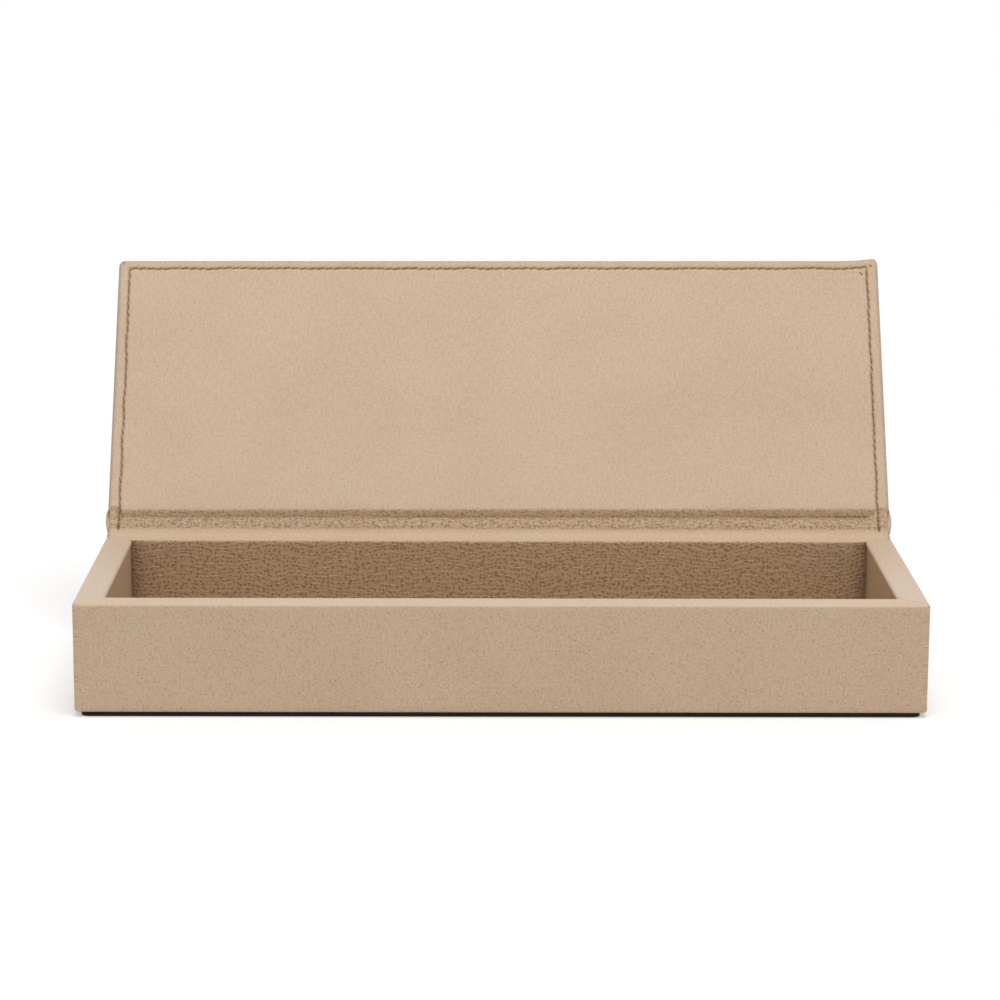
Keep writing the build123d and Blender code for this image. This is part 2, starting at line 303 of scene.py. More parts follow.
# %% The taupe leather
def make_leather():
    """Grained calf on a UV map in millimetres: pits in wavy rows with ridges between them, single
    pits, soft streaks, and fine unevenness of the dye."""
    material, tree, shader = new_material("taupe_calf")
    place = node(tree, "ShaderNodeUVMap", uv_map="along_and_across").outputs[0]
    names = ("rows", "pits", "streaks", "wear_and_sheen", "pressed", "deep", "grey_shade_and_sheen")
    rows, pits, streaks, wear_and_sheen, pressed, deep, grey_shade_and_sheen = [field(tree, name) for name in names]

    # rows: cells of 1.35 by 1.4 mm, whose lines wander over a few millimetres
    wavy = warped(tree, warped(tree, place, 0.055, (3.0, 7.0, 0.0)), 0.5, (1.0, 0.8, 0.0))
    cell = stretched(tree, wavy, (0.74, 0.715, 1.0))
    spot_size = step(tree, noise(tree, place, 0.45, 2.0), 0.30, 0.68, 0.14, 0.36)
    spot = blots(tree, cell, 1.0, 0.75, spot_size, (-0.12, 0.12))
    across = node(tree, "ShaderNodeSeparateXYZ", ((0, cell),)).outputs[1]
    in_row = maths(tree, "FRACT", maths(tree, "ADD", across, 0.225))
    off_row = maths(tree, "ABSOLUTE", maths(tree, "SUBTRACT", in_row, 0.5))
    broken = step(tree, noise(tree, stretched(tree, place, (0.3, 0.8, 1.0)), 1.0, 3.0), 0.36, 0.56)
    ridge = times(tree, step(tree, off_row, 0.34, 0.49), broken)

    # single pits of uneven outline, in cells of 1.2 mm
    pit_size = step(tree, noise(tree, place, 0.31, 3.0), 0.30, 0.66, 0.06, 0.20)
    pit = blots(tree, warped(tree, place, 1.5, (0.5, 0.5, 0.0)), 0.84, 1.0, pit_size, (-0.09, 0.08))

    # where the leather is slack and pitted, the grain stands up in pale points between the pits
    grain_size = step(tree, noise(tree, place, 0.6, 2.0), 0.36, 0.62, 0.0, 0.26)
    grain = blots(tree, place, 1.05, 1.0, grain_size, (-0.09, 0.09))

    # streaks lie along the second direction, specks and pores have no direction
    drawn = stretched(tree, warped(tree, place, 0.2, (1.5, 0.0, 0.0)), (1.3, 0.36, 1.0))
    streak = noise(tree, drawn, 1.0, 2.0)
    cloud = step(tree, noise(tree, place, 0.03, 3.0), 0.3, 0.7)
    speck = noise(tree, place, 1.15, 2.0)
    pore = noise(tree, place, 3.4, 2.0)

    pale, dye = linear(226, 207, 186), linear(122, 88, 56)
    ground = mix_colour(tree, cloud, linear(214, 186, 157), linear(211, 182, 152))
    for share, colour in (
        # paler: wear on the spine's edges, and painted sheen on the rims
        (wear_and_sheen, pale),
        # darker brown: painted shade inside the tray, in the hinge furrow and towards the lid's right
        (deep, linear(152, 117, 70)),
        # greyer: painted shade on rounded edges, painted sheen on the side rims, painted light on a wall
        (grey_shade_and_sheen, linear(176, 158, 146)),
        (step(tree, speck, 0.42, 0.78, 0.0, 0.12), dye),
        (step(tree, speck, 0.42, 0.26, 0.0, 0.20), pale),
        (step(tree, pore, 0.50, 0.74, 0.0, 0.22), pale),
        (step(tree, pore, 0.46, 0.30, 0.0, 0.10), dye),
        (times(tree, step(tree, streak, 0.52, 0.72, 0.0, 0.12), streaks), pale),
        (times(tree, step(tree, streak, 0.48, 0.30, 0.0, 0.07), streaks), dye),
        (times(tree, ridge, rows, 0.42), linear(232, 203, 170)),
        (times(tree, spot, rows, 0.56), dye),
        (times(tree, pit, pits, 0.28), dye),
        (times(tree, grain, rows, pits, 0.60), pale),
        # dark brown: pressed seams, and painted shade in their grooves and holes, tray corners and mitres
        (times(tree, pressed, 0.62), linear(96, 68, 40)),
    ):
        ground = mix_colour(tree, share, ground, colour)

    height = times(tree, maths(tree, "SUBTRACT", ridge, spot), rows)
    height = maths(tree, "SUBTRACT", height, times(tree, pit, pits, 0.7))
    for part in (times(tree, streak, streaks, 0.5), times(tree, speck, 0.35), times(tree, pore, 0.12)):
        height = maths(tree, "ADD", height, part)
    rough = maths(tree, "ADD", step(tree, speck, 0.3, 0.7, 0.50, 0.60), times(tree, spot, 0.08))
    finish_shader(
        tree, shader, ground, height, 0.00008, rough, IOR=1.45, Sheen_Weight=0.05, Sheen_Roughness=0.5
    )
    return material


# %% [markdown]
# ## Thread, suede, board and card
#
# The thread is waxed linen, laid up from twisted strands; the pad is dark brown suede; the boards
# are grey-brown millboard with fibres, and the card is paler. The boards and the card are inside
# the leather, but they are finished too, because the box can be taken apart.

# %% Thread, suede and board
def make_thread():
    """Twisted thread: slanting strands from a wave across the piece's own UV map."""
    material, tree, shader = new_material("brown_thread")
    along = node(tree, "ShaderNodeUVMap", uv_map="along_and_across").outputs[0]
    inputs = ((0, along), ("Scale", 1.1), ("Distortion", 0.6))
    strands = node(tree, "ShaderNodeTexWave", inputs, bands_direction="DIAGONAL").outputs["Fac"]
    place = node(tree, "ShaderNodeTexCoord").outputs["Object"]
    wear = node(tree, "ShaderNodeTexNoise", ((0, place), (2, 420.0), (3, 2.0))).outputs[0]
    dark = linear(124, 92, 60)
    colour = mix_colour(tree, strands, dark, linear(176, 142, 106))
    colour = mix_colour(tree, step(tree, wear, 0.35, 0.75, 0.0, 0.5), colour, dark)
    finish_shader(tree, shader, colour, strands, 0.00008, 0.62)
    return material


def make_fibrous(name, pale, dark, scale, rough, bump):
    """A fibrous surface in Object coordinates: noise at two scales for colour, the fine one also
    for bumps."""
    material, tree, shader = new_material(name)
    place = stretched(tree, node(tree, "ShaderNodeTexCoord").outputs["Object"], scale)
    coarse = node(tree, "ShaderNodeTexNoise", ((0, place), (2, 0.12), (3, 4.0))).outputs[0]
    fine = node(tree, "ShaderNodeTexNoise", ((0, place), (2, 2.6), (3, 3.0))).outputs[0]
    share = maths(tree, "ADD", times(tree, coarse, 0.5), times(tree, fine, 0.5))
    colour = mix_colour(tree, step(tree, share, 0.32, 0.68), linear(*dark), linear(*pale))
    finish_shader(tree, shader, colour, fine, bump, rough)
    return material


finishes = {
    "taupe_leather": make_leather(),
    "thread": make_thread(),
    "dark_suede": make_fibrous("dark_suede", (47, 28, 18), (24, 12, 7), (1000.0,) * 3, 1.0, 0.0002),
    "board": make_fibrous(
        "millboard", (176, 155, 128), (148, 127, 102), (500.0, 1000.0, 1500.0), 0.9, 0.00006
    ),
    "card": make_fibrous(
        "card", (186, 180, 166), (168, 160, 146), (700.0, 700.0, 1400.0), 0.9, 0.00003
    ),
}
print("materials", [material.name for material in finishes.values()])

# %% Finish of every CAD node
slots = {part["node"]: part["material_slot"] for part in frame["record"]["subparts"]}
for name, solid in nodes.items():
    finish = finishes[slots[name]]
    if not solid.material_slots:
        solid.data.materials.append(finish)
    for place in solid.material_slots:
        place.material = finish
print("CAD nodes finished:", len(slots))

# %% [markdown]
# ## Mesh helpers
#
# Every surface below is a grid of points: a shape is a function of two parameters, worked out for
# the whole grid at once. The helpers turn such grids into faces, close them and make the object.
# A Blender modifier could thicken an open sheet, but leather that is folded and pared changes its
# thickness, so both sides of each sheet are worked out and joined round the border.

# %% Faces between the points of a grid
def numbered(rows, columns, first=0):
    """A grid of point numbers: row * columns + column, counted on from the first."""
    return first + np.arange(rows * columns).reshape(rows, columns)


def quads(number):
    """Four-sided faces between the neighbours of a grid of point numbers."""
    corners = [number[:-1, :-1], number[:-1, 1:], number[1:, 1:], number[1:, :-1]]
    return np.stack(corners, axis=-1).reshape(-1, 4)


def border(number):
    """The point numbers round the border of a grid, once round."""
    return np.concatenate([number[0, :-1], number[:-1, -1], number[-1, :0:-1], number[:0:-1, 0]])


def band(first, second):
    """Four-sided faces between two closed rings of point numbers."""
    return np.stack([first, np.roll(first, -1), np.roll(second, -1), second], axis=-1)


def shell(rows, columns):
    """Faces of a closed sheet: a grid, its back with as many points, and the border between."""
    front = numbered(rows, columns)
    back = front + front.size
    return [quads(front), quads(back)[:, ::-1], band(border(front), border(back))]


def lengths(line):
    """Length run along a line of points, at each of them."""
    return np.concatenate([[0.0], np.cumsum(np.linalg.norm(np.diff(line, axis=0), axis=1))])


def fall(gap, radius):
    """How far a rounded edge has fallen at a distance from the border: nothing beyond the
    radius, and the whole radius at the border, on a quarter circle."""
    inside = np.clip(radius - gap, 0.0, radius)
    return radius - np.sqrt(np.maximum(radius * radius - inside * inside, 0.0))


def smooth(value, low, high):
    """Smooth step from 0 at low to 1 at high."""
    share = np.clip((value - low) / (high - low), 0.0, 1.0)
    return share * share * (3.0 - 2.0 * share)


def ripple(u, v, seed, length, terms=14):
    """Soft unevenness between about -1 and 1: a sum of sine waves in random directions, with
    wavelengths from two thirds to one and a half times the given length."""
    random = np.random.default_rng(seed)
    total = np.zeros(np.broadcast(u, v).shape)
    for _ in range(terms):
        heading = random.uniform(0, 2 * pi)
        wave = 2 * pi / (length * random.uniform(0.67, 1.5))
        phase = random.uniform(0, 2 * pi)
        total = total + np.sin(wave * (u * cos(heading) + v * sin(heading)) + phase)
    return total / sqrt(terms)


print("helpers ready")


# %% From points and faces to an object
def make_piece(name, points, faces, body, replaces, uv, fields=None, sharp=50.0):
    """One finished object in the slot and material of the node that it replaces: millimetres
    become metres, points that coincide are merged, the normals point outwards, and the piece
    rides on its body, or, given anything else, keeps its place in the world. A field is a number,
    or has a value for every point, or one for every point of the face, which the back repeats."""
    slot = slots[replaces[0]]
    mesh = bpy.data.meshes.new(name)
    loops = np.concatenate([np.asarray(face).ravel() for face in faces])
    sizes = np.concatenate([np.full(len(face), face.shape[1]) for face in faces])
    mesh.vertices.add(len(points))
    mesh.vertices.foreach_set("co", (points / MM).astype(np.float32).ravel())
    mesh.loops.add(len(loops))
    mesh.loops.foreach_set("vertex_index", loops.astype(np.int32))
    mesh.polygons.add(len(sizes))
    starts = np.concatenate([[0], np.cumsum(sizes)[:-1]])
    mesh.polygons.foreach_set("loop_start", starts.astype(np.int32))
    for field_name, values in (fields or {}).items():
        values = np.ravel(values).astype(np.float32)
        attribute = mesh.attributes.new(field_name, "FLOAT", "POINT")
        attribute.data.foreach_set("value", np.tile(values, len(points) // len(values)))
    layer = mesh.uv_layers.new(name="along_and_across")
    layer.data.foreach_set("uv", np.asarray(uv, np.float32)[loops].ravel())
    mesh.update(calc_edges=True)
    mesh.validate()
    solid = bmesh.new()
    solid.from_mesh(mesh)
    bmesh.ops.remove_doubles(solid, verts=solid.verts, dist=2e-6)
    open_edges = [edge for edge in solid.edges if edge.is_boundary]
    if open_edges:
        bmesh.ops.holes_fill(solid, edges=open_edges, sides=0)
    bmesh.ops.recalc_face_normals(solid, faces=solid.faces)
    left_open = sum(1 for edge in solid.edges if not edge.is_manifold)
    solid.to_mesh(mesh)
    solid.free()
    mesh.shade_smooth()
    mesh.set_sharp_from_angle(angle=radians(sharp))
    mesh.materials.append(finishes[slot])
    piece = bpy.data.objects.new(name, mesh)
    bpy.context.scene.collection.objects.link(piece)
    if isinstance(body, str):
        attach(piece, body)
    else:
        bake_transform(piece)
    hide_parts(*replaces)
    triangles = sum(len(face.vertices) - 2 for face in mesh.polygons)
    print(name, "triangles", triangles, "open edges", left_open)


# %% [markdown]
# ## Leather sheets along a section line
#
# Most of the leathers are one sheet bent in one direction only: up a wall and over its rim, or
# round the foot of the lid board. Such a sheet is its side view carried along x. Extruding a
# curve would do for the bare shape; here each point of the grid also knows how far it is from the
# cut edges, so the edges can be pared round, the seam pressed in and the surface left uneven.

# %% A sheet between two section lines
def line_frame(line, side):
    """Length run along a section line and its unit normal, on the right (-1) or left (1) of the
    direction of travel."""
    ahead = np.gradient(line, axis=0)
    ahead /= np.linalg.norm(ahead, axis=1, keepdims=True)
    return lengths(line), side * np.stack([-ahead[:, 1], ahead[:, 0]], axis=1)


def rounded(across, along, half, start, corner):
    """A sheet's points with the two corners of its first end drawn in to a radius: in a corner's
    square each point keeps its direction from the centre of the arc, and its larger offset
    becomes its distance."""
    out_x = np.abs(across) - (half - corner)
    out_y = start + corner - along
    inside = (out_x > 0) & (out_y > 0)
    reach = np.maximum(np.hypot(out_x, out_y), 1e-9)
    pull = np.where(inside, np.maximum(out_x, out_y) / reach, 1.0)
    across = np.where(inside, np.sign(across) * (half - corner + out_x * pull), across)
    return across, np.where(inside, start + corner - out_y * pull, along)


def sheet(face_line, back_line, side, x, half_width, edge, free=(True, True), corner=0.0, relief=None):
    """A sheet of leather as a closed shell.

    The face is the face line carried along x, sunk at the cut edges by a quarter circle, and
    pressed in or raised by relief(x, run); the back is the back line, treated the same way
    without relief. x holds places for the half width of 1; half_width gives the real half width
    at each point of the line. A free end is cut and rounded, any other end goes on in the next
    piece. corner is the radius of the two corners of the first end."""
    run, normal = line_frame(face_line, side)
    rows, columns = len(run), len(x)
    wide = np.broadcast_to(half_width, rows)[:, None]
    across = x[None, :] * wide
    along = np.repeat(run[:, None], columns, axis=1)
    gap = wide - np.abs(across)
    if free[0]:
        gap = np.minimum(gap, along)
    if free[1]:
        gap = np.minimum(gap, run[-1] - along)
    across, along = rounded(across, along, wide, 0.0, corner)

    def carry(line, sink):
        """Points of a line, moved out along the face's normals."""
        y, z = [
            np.interp(along, run, line[:, place]) + sink * np.interp(along, run, normal[:, place])
            for place in (0, 1)
        ]
        return np.stack([across, y, z], axis=-1).reshape(-1, 3)

    rise = relief(across, along) if relief else 0.0
    points = np.concatenate([
        carry(face_line, rise - fall(gap, edge[0])), carry(back_line, fall(gap, edge[1]))
    ])
    edge_nearness = 1.0 - smooth(gap, 0.0, 1.1)
    uv = np.tile(np.stack([across, along], axis=-1).reshape(-1, 2), (2, 1))
    return points, shell(rows, columns), edge_nearness, along, across, uv


def arc(centre, radius, start, end, count=8):
    """Points on a circle in the side view, from one angle to another, in degrees."""
    turn = np.radians(np.linspace(start, end, count))
    return np.stack([centre[0] + radius * np.cos(turn), centre[1] + radius * np.sin(turn)], axis=1)


def straight(first, second, step, ends=(True, True)):
    """Evenly spaced points from one point of the side view to another."""
    first, second = np.array(first, float), np.array(second, float)
    count = max(2, int(np.ceil(np.linalg.norm(second - first) / step)) + 1)
    share = np.linspace(0.0, 1.0, count)[:, None]
    points = first + (second - first) * share
    return points[0 if ends[0] else 1: None if ends[1] else -1]


def widths(half, step, rounding):
    """Places across a sheet, as shares of its half width: six close together where each edge is
    rounded and even steps between, without any that nearly coincide."""
    closest = 0.03
    edge = rounding * (1.0 - np.cos(np.linspace(0.0, pi / 2, 7)))
    count = max(2, int(np.ceil((2 * half - 2 * rounding) / step)) + 1)
    middle = np.linspace(-half + rounding, half - rounding, count)
    places = np.unique(np.round(np.concatenate([edge - half, half - edge, middle]), 5))
    kept = [places[0]]
    for place in places[1:]:
        if place - kept[-1] > closest:
            kept.append(place)
    kept[-1] = places[-1]
    return np.array(kept) / half


# %% [markdown]
# ## Linings of the tray
#
# Four leather panels line the walls and a fifth the floor. The rear one isn't cut at the top: it
# bends over the rear rim and runs back to the hinge, with its ends cut at 45 degrees to meet the
# leather of the side rims. Flat boxes would do as well from far away; soft edges and painted
# shade give the dark line in each corner that the photograph shows, and the linings are painted
# darker than the outside, as shade inside the tray.

# %% Flat linings of front, sides and floor
lining_edge = 0.28
back_edge = 0.1


def flat_lining(name, out, turned, half, seed, pits, deep, grey_shade_and_sheen):
    """A flat upright panel whose face lies a distance out from the middle, with its back one
    leather behind. The sides of the tray (1 and -1) are the front panel (0) turned a quarter
    round the vertical, and their leather is painted darker towards the rear corner as shade."""
    face = straight((-out, lining_foot), (-out, rim_under), 2.5)
    close = face[0] + (face[1] - face[0]) * np.array([[0.04], [0.12]])
    face = np.concatenate([face[:1], close, face[1:]])
    back = face - line_frame(face, -1)[1] * leather
    points, faces, _, _, across, uv = sheet(
        face, back, -1, widths(half, 3.0, lining_edge), half, (lining_edge, back_edge), (True, False),
        relief=lambda u, v: 0.05 * ripple(u, v, seed, 26.0) - 0.05,
    )
    if turned:
        points = np.stack([-turned * points[:, 1], turned * points[:, 0], points[:, 2]], axis=1)
    # painted shade: the side walls darken towards their rear corner
    pressed = abs(turned) * 1.5 * np.exp(-((half - turned * across) / 3.4) ** 2)
    fields = {"pits": pits, "deep": deep, "grey_shade_and_sheen": grey_shade_and_sheen, "pressed": pressed}
    make_piece(name + "_leather", points, faces, "box", [name], uv, fields)


# deep is painted shade on the walls of the tray; the grey tint, stronger on the left wall, is painted light there
flat_lining("front_lining", mouth_y, 0, board_x, 3, 0.6, 0.52, 0.0)
flat_lining("right_lining", mouth_x, 1, mouth_y, 4, 0.1, 0.70, 0.05)
flat_lining("left_lining", mouth_x, -1, mouth_y, 5, 0.1, 0.60, 0.25)

floor_face = straight((-mouth_y, floor_top), (mouth_y, floor_top), 3.0)
points, faces, _, _, _, uv = sheet(
    floor_face, floor_face - [0.0, leather], 1, widths(mouth_x, 3.0, 0.4), mouth_x, (0.4, back_edge),
    relief=lambda u, v: 0.05 * ripple(u, v, 6, 30.0) - 0.05,
)
# deep is painted shade on the floor of the tray
floor_fields = {"pits": 0.8, "deep": 0.40}
make_piece("floor_lining_leather", points, faces, "box", ["floor_lining"], uv, floor_fields)

# %% Rear lining, over the rear rim
rim_roll = 0.7


def rear_lines():
    """Face and back of the rear lining: up the wall, round the inner edge of the rim on a
    quarter circle and back along the rim. The back is one leather further in."""
    wall = straight((mouth_y, lining_foot), (mouth_y, rim - rim_roll), 1.2, (True, False))
    roll = arc((mouth_y + rim_roll, rim - rim_roll), rim_roll, 180.0, 90.0, 9)
    top = straight((mouth_y + rim_roll, rim), (core_y, rim), 0.8, (False, True))
    face = np.concatenate([wall, roll, top])
    back = np.stack([
        np.maximum(face[:, 0], mouth_y + leather), np.minimum(face[:, 1], rim_under)
    ], axis=1)
    return face, back


rear_face, rear_back = rear_lines()
beyond = np.maximum(rear_face[:, 0] - mouth_y, 0.0)
rear_half = np.where(rear_face[:, 1] < rim - 2.0, board_x, mouth_x + beyond)
rim_run = rim - lining_foot - rim_roll


def rear_relief(u, v):
    """Soft unevenness that fades out at the foot and before the rim."""
    return 0.05 * ripple(u, v, 7, 22.0) * smooth(v, 1.0, 4.0) * (1.0 - smooth(v, rim_run - 2.0, rim_run))


points, faces, _, along, across, uv = sheet(
    rear_face, rear_back, 1, widths(board_x, 1.5, 0.18), rear_half, (0.18, 0.05), (True, False),
    relief=rear_relief,
)
on_wall = 1.0 - smooth(along, rim_run + 0.4, rim_run + 1.0)
to_corner = mouth_x - np.abs(across)
corner_shade_line = 1.25 * np.exp(-(to_corner / 0.6) ** 2)
corner_shade = 0.55 * np.exp(-(to_corner / 3.4) ** 2)
# deep is painted shade on the inner wall; the corner line and corner shade paint shade in the two rear corners
rear_fields = {
    "rows": on_wall,
    "deep": 0.05 + 0.45 * on_wall,
    "pressed": np.maximum(corner_shade_line, corner_shade) * on_wall,
    "streaks": 0.3,
}
make_piece("rear_lining_leather", points, faces, "box", ["rear_lining"], uv, rear_fields)

# %% Spine
spine_radius = 0.9


def spine_lines():
    """Face and back of the spine: out along the underside, round the foot, up the rear wall."""
    under = straight((half_y - turn_under, foot), (half_y - spine_radius, foot), 1.2, (True, False))
    bend = arc((half_y - spine_radius, foot + spine_radius), spine_radius, -90.0, 0.0, 8)
    wall = straight((half_y, foot + spine_radius), (half_y, rim), 1.5, (False, True))
    face = np.concatenate([under, bend, wall])
    back = np.stack([np.minimum(face[:, 0], core_y), np.maximum(face[:, 1], foot + leather)], axis=1)
    return face, back


spine_face, spine_back = spine_lines()
y, z = spine_face.T
spine_half = half_x - np.where(z < foot + 0.01, half_y - y, 0.0)
points, faces, edge_nearness, _, _, uv = sheet(
    spine_face, spine_back, -1, widths(half_x, 2.0, spine_radius), spine_half,
    (spine_radius, back_edge), (True, False),
    relief=lambda u, v: 0.06 * ripple(u, v, 8, 34.0) * smooth(v, 12.0, 16.0) - 0.04,
)
spine_fields = {"pits": 1.0, "wear_and_sheen": edge_nearness * 0.3, "deep": 0.06}
make_piece("spine_leather", points, faces, "box", ["spine_cover"], uv, spine_fields)

# %% [markdown]
# ## Outer wrap
#
# Front and sides are covered by one band that is glued over the rim and under the walls, with
# slits at the two front corners so that the turned leather meets on a 45 degree line. It could be
# swept with a curve's bevel, but that can't mitre the inner rim while it rounds the outer corner.
# So the band's section is carried along the outline: near the outside a point moves in
# along the normal of the rounded corner, and further in it is held back at the 45 degree line.


# %% The band's section and its path
upright_radius = 1.6
rim_outer = 1.0
rim_inner = 0.9
foot_radius = 0.9


def wrap_section():
    """Outer and inner line of the band, as distance in from the outer face and height, with the
    same number of points: under the wall, round the foot, up, over the rim and to its inner
    edge. The rim has a slight crown."""
    under = straight((turn_under, foot), (foot_radius, foot), 1.6, (True, False))
    bend = arc((foot_radius, foot + foot_radius), foot_radius, 270.0, 180.0, 7)
    wall = straight((0.0, foot + foot_radius), (0.0, rim - rim_outer), 2.4, (False, False))
    shoulder = arc((rim_outer, rim - rim_outer), rim_outer, 180.0, 90.0, 9)
    width = half_x - mouth_x
    top = straight((rim_outer, rim), (width - rim_inner, rim), 0.45, (False, False))
    edge = arc((width - rim_inner, rim - rim_inner), rim_inner, 90.0, 0.0, 9)
    last = straight((width, rim - rim_inner), (width, rim_under), 0.3, (False, True))
    outer = np.concatenate([under, bend, wall, shoulder, top, edge, last])
    z = np.where(outer[:, 1] < foot + foot_radius, foot + leather, outer[:, 1])
    z = np.clip(z, foot + leather, rim_under)
    return outer, np.stack([np.maximum(outer[:, 0], leather), z], axis=1)


def wrap_path():
    """Columns along the outline, from the left rear round the front to the right rear: the
    centre that each column turns about and its outward direction."""
    corner_x, corner_y = half_x - upright_radius, -half_y + upright_radius
    close = core_y - np.arange(0, 12, 0.9)
    side = np.unique(np.concatenate([np.linspace(core_y, corner_y, 40), close]))[::-1]
    front = np.linspace(-corner_x, corner_x, 105)
    turn = np.radians(np.linspace(180.0, 270.0, 13))
    parts = (
        (-corner_x, side, -1.0, 0.0),
        (-corner_x, corner_y, np.cos(turn), np.sin(turn)),
        (front, corner_y, 0.0, -1.0),
        (corner_x, corner_y, -np.cos(turn)[::-1], np.sin(turn)[::-1]),
        (corner_x, side[::-1], 1.0, 0.0),
    )
    return np.concatenate([np.stack(np.broadcast_arrays(*part), axis=1) for part in parts])


def carry_section(path, section, seam_gap=(0.0, 0.0), seam_depth=(0.0, 0.0)):
    """The section at every column. Nearer the outside than the corner radius, a point lies on
    the rounded outline moved in; further in it lies on the inset rectangle, and the columns of a
    corner meet on its 45 degree line, where the middle one is pressed in as the seam. Gap and
    depth of the seam are given for the left and the right corner. At the rear, rim and underside
    end on the 45 degree line of the rear corner."""
    n, z = section[None, :, 0], section[None, :, 1]
    cx, cy, dx, dy = (path[:, None, place] for place in range(4))
    r = upright_radius
    gap = np.where(cx > 0, seam_gap[1], seam_gap[0])
    depth = np.where(cx > 0, seam_depth[1], seam_depth[0])
    opening = smooth(n, 0.5, 1.8) * ((z > rim - 0.9) | (z < foot + 0.6))
    beside = np.sign(np.round(np.abs(dx) - np.abs(dy), 6))
    near = (np.abs(cx) >= half_x - r - 1e-6) & (np.abs(cy + half_y - r) < 1e-6)
    limit_x = half_x - n - np.where(beside < 0, gap * opening, 0.0)
    limit_y = -half_y + n + np.where(beside > 0, gap * opening, 0.0)
    flat_x = np.where(beside > 0, np.sign(cx) * (half_x - n), np.clip(cx, -limit_x, limit_x))
    flat_y = np.where(beside < 0, -half_y + n, np.maximum(cy, limit_y))
    x = np.where(n < r, cx + dx * (r - n), flat_x)
    y = np.where(n < r, cy + dy * (r - n), flat_y)
    y = np.minimum(y, np.minimum(core_y, half_y - n))
    pressed = depth * opening * near * (beside == 0)
    return np.stack([x, y, z + np.where(z > rim / 2, -1.0, 1.0) * pressed], axis=-1)


# %% Build the wrap
path = wrap_path()
wrap_outer, wrap_inner = wrap_section()
outside = carry_section(path, wrap_outer, (0.06, 0.20), (0.08, 0.30))
inside = carry_section(path, wrap_inner)
n, z = wrap_outer.T
crown = 0.10 * np.sin(pi * np.clip((n - 0.4) / (half_x - mouth_x - 0.8), 0, 1))
outside[..., 2] += np.where(z > rim - 0.3, crown - 0.10, 0.0)[None, :]
uneven = 0.03 * ripple(outside[..., 0] + outside[..., 1], outside[..., 2], 9, 30.0)
on_face = ((z > foot + 2.0) & (z < rim - 2.0) & (n < 0.1))[None, :]
outside[..., :2] -= path[:, None, 2:] * np.where(on_face, 0.05 + uneven, 0.0)[..., None]
out_x, out_y = np.abs(path[:, None, 2]), np.abs(path[:, None, 3])
on_rim = smooth(z, rim - 1.2, rim - 0.3) * np.ones((len(path), 1))
on_side = out_x > out_y
on_mitre = (np.abs(out_x - out_y) < 1e-6) * np.where(path[:, None, 0] > 0, 1.0, 0.4)
sheen_towards_front = 1.0 - smooth(outside[..., 1], -25.0, 40.0)
# on the rims a paler, greyer colour is painted sheen, strongest on the side rims and fading to the rear; the
# mitres get a dark line of painted shade, stronger on the right; the walls are a little deeper in tone
wrap_fields = {
    "deep": 0.06 * (1.0 - on_rim),
    "grey_shade_and_sheen": 0.24 * on_rim * on_side,
    "pits": 1.0 - 0.9 * on_rim,
    "streaks": 0.8 * (1.0 - on_rim),
    "wear_and_sheen": on_rim * (0.28 + 0.40 * on_side) * sheen_towards_front,
    "pressed": on_rim * on_mitre,
}
middle = carry_section(path, np.array([[1.6, 10.0]]))[:, 0, :2]
uv = np.stack(np.meshgrid(lengths(middle), lengths(wrap_outer), indexing="ij"), axis=-1)
make_piece(
    "outer_wrap_leather", np.concatenate([outside.reshape(-1, 3), inside.reshape(-1, 3)]),
    shell(len(path), len(wrap_outer)), "box", ["outer_wrap"],
    np.tile(uv.reshape(-1, 2), (2, 1)), wrap_fields,
)

# %% [markdown]
# ## Lid
#
# The lid is a thin board with the outer leather turned in round three edges and the lining glued
# over the turned edges. Both leathers are worked out shut, lying on the box, because there they
# are level, and then turned about the hinge axis. The seam presses a groove into both of them,
# so the grid has its lines close together across the groove, and lines through every hole. The
# seam was sewn by hand along a marked line, so it wanders from it by about 0.14 mm.

# %% Where the seam and its holes run
pitch = 2.9
seam_left = -half_x + 3.85
seam_right = half_x - 3.95
first_hole_x = -126.4
first_hole_y = -45.2
near_seam = np.array([-1.15, -0.75, -0.45, -0.2, 0, 0.2, 0.45, 0.75, 1.15])


def seam_stations(low, high, rounding, first_hole, crossings):
    """Places along one direction of a lid panel: three to a stitch, starting at a hole, finer
    ones across each seam that runs the other way, and close ones at the rounded ends."""
    steps = first_hole + pitch / 3 * np.arange(-10, 300)
    inner = steps[(steps > low + rounding[0] + 0.2) & (steps < high - rounding[1] - 0.2)]
    for crossing in crossings:
        inner = np.concatenate([inner[np.abs(inner - crossing) > 1.45], crossing + near_seam])
    rise = 1.0 - np.cos(np.linspace(0.0, pi / 2, 7))
    ends = [low + rounding[0] * rise, high - rounding[1] * rise]
    return np.unique(np.round(np.concatenate([inner, *ends]), 5))


def wander(along, seed):
    """How far the seam strays from its marked line."""
    return 0.14 * ripple(along, 0.0 * along, seed, 13.0, 8)


def hole_distance(run):
    """Distance from the nearest hole, for lengths run along a seam from any of its holes."""
    return np.abs(run / pitch - np.round(run / pitch)) * pitch


def from_seam(x, y):
    """Distance of points of the shut lid from the seam's line, and from the nearest hole along
    it. The seam runs up both sides and across the free edge."""
    side_x = np.where(x < 0, seam_left + wander(y, 51), seam_right + wander(y, 52))
    beyond = np.maximum(np.maximum(x - seam_right, seam_left - x), 0.0)
    off_side = np.hypot(x - side_x, np.minimum(y - seam_y, 0.0))
    off_edge = np.hypot(y - seam_y - wander(x, 53), beyond)
    run = np.where(off_side < off_edge, y - first_hole_y, x - first_hole_x)
    return np.minimum(off_side, off_edge), hole_distance(run)


def off_side_seam(x):
    """Distance along x from the nearer of the two side seams."""
    return np.abs(x - np.where(x < 0, seam_left, seam_right))


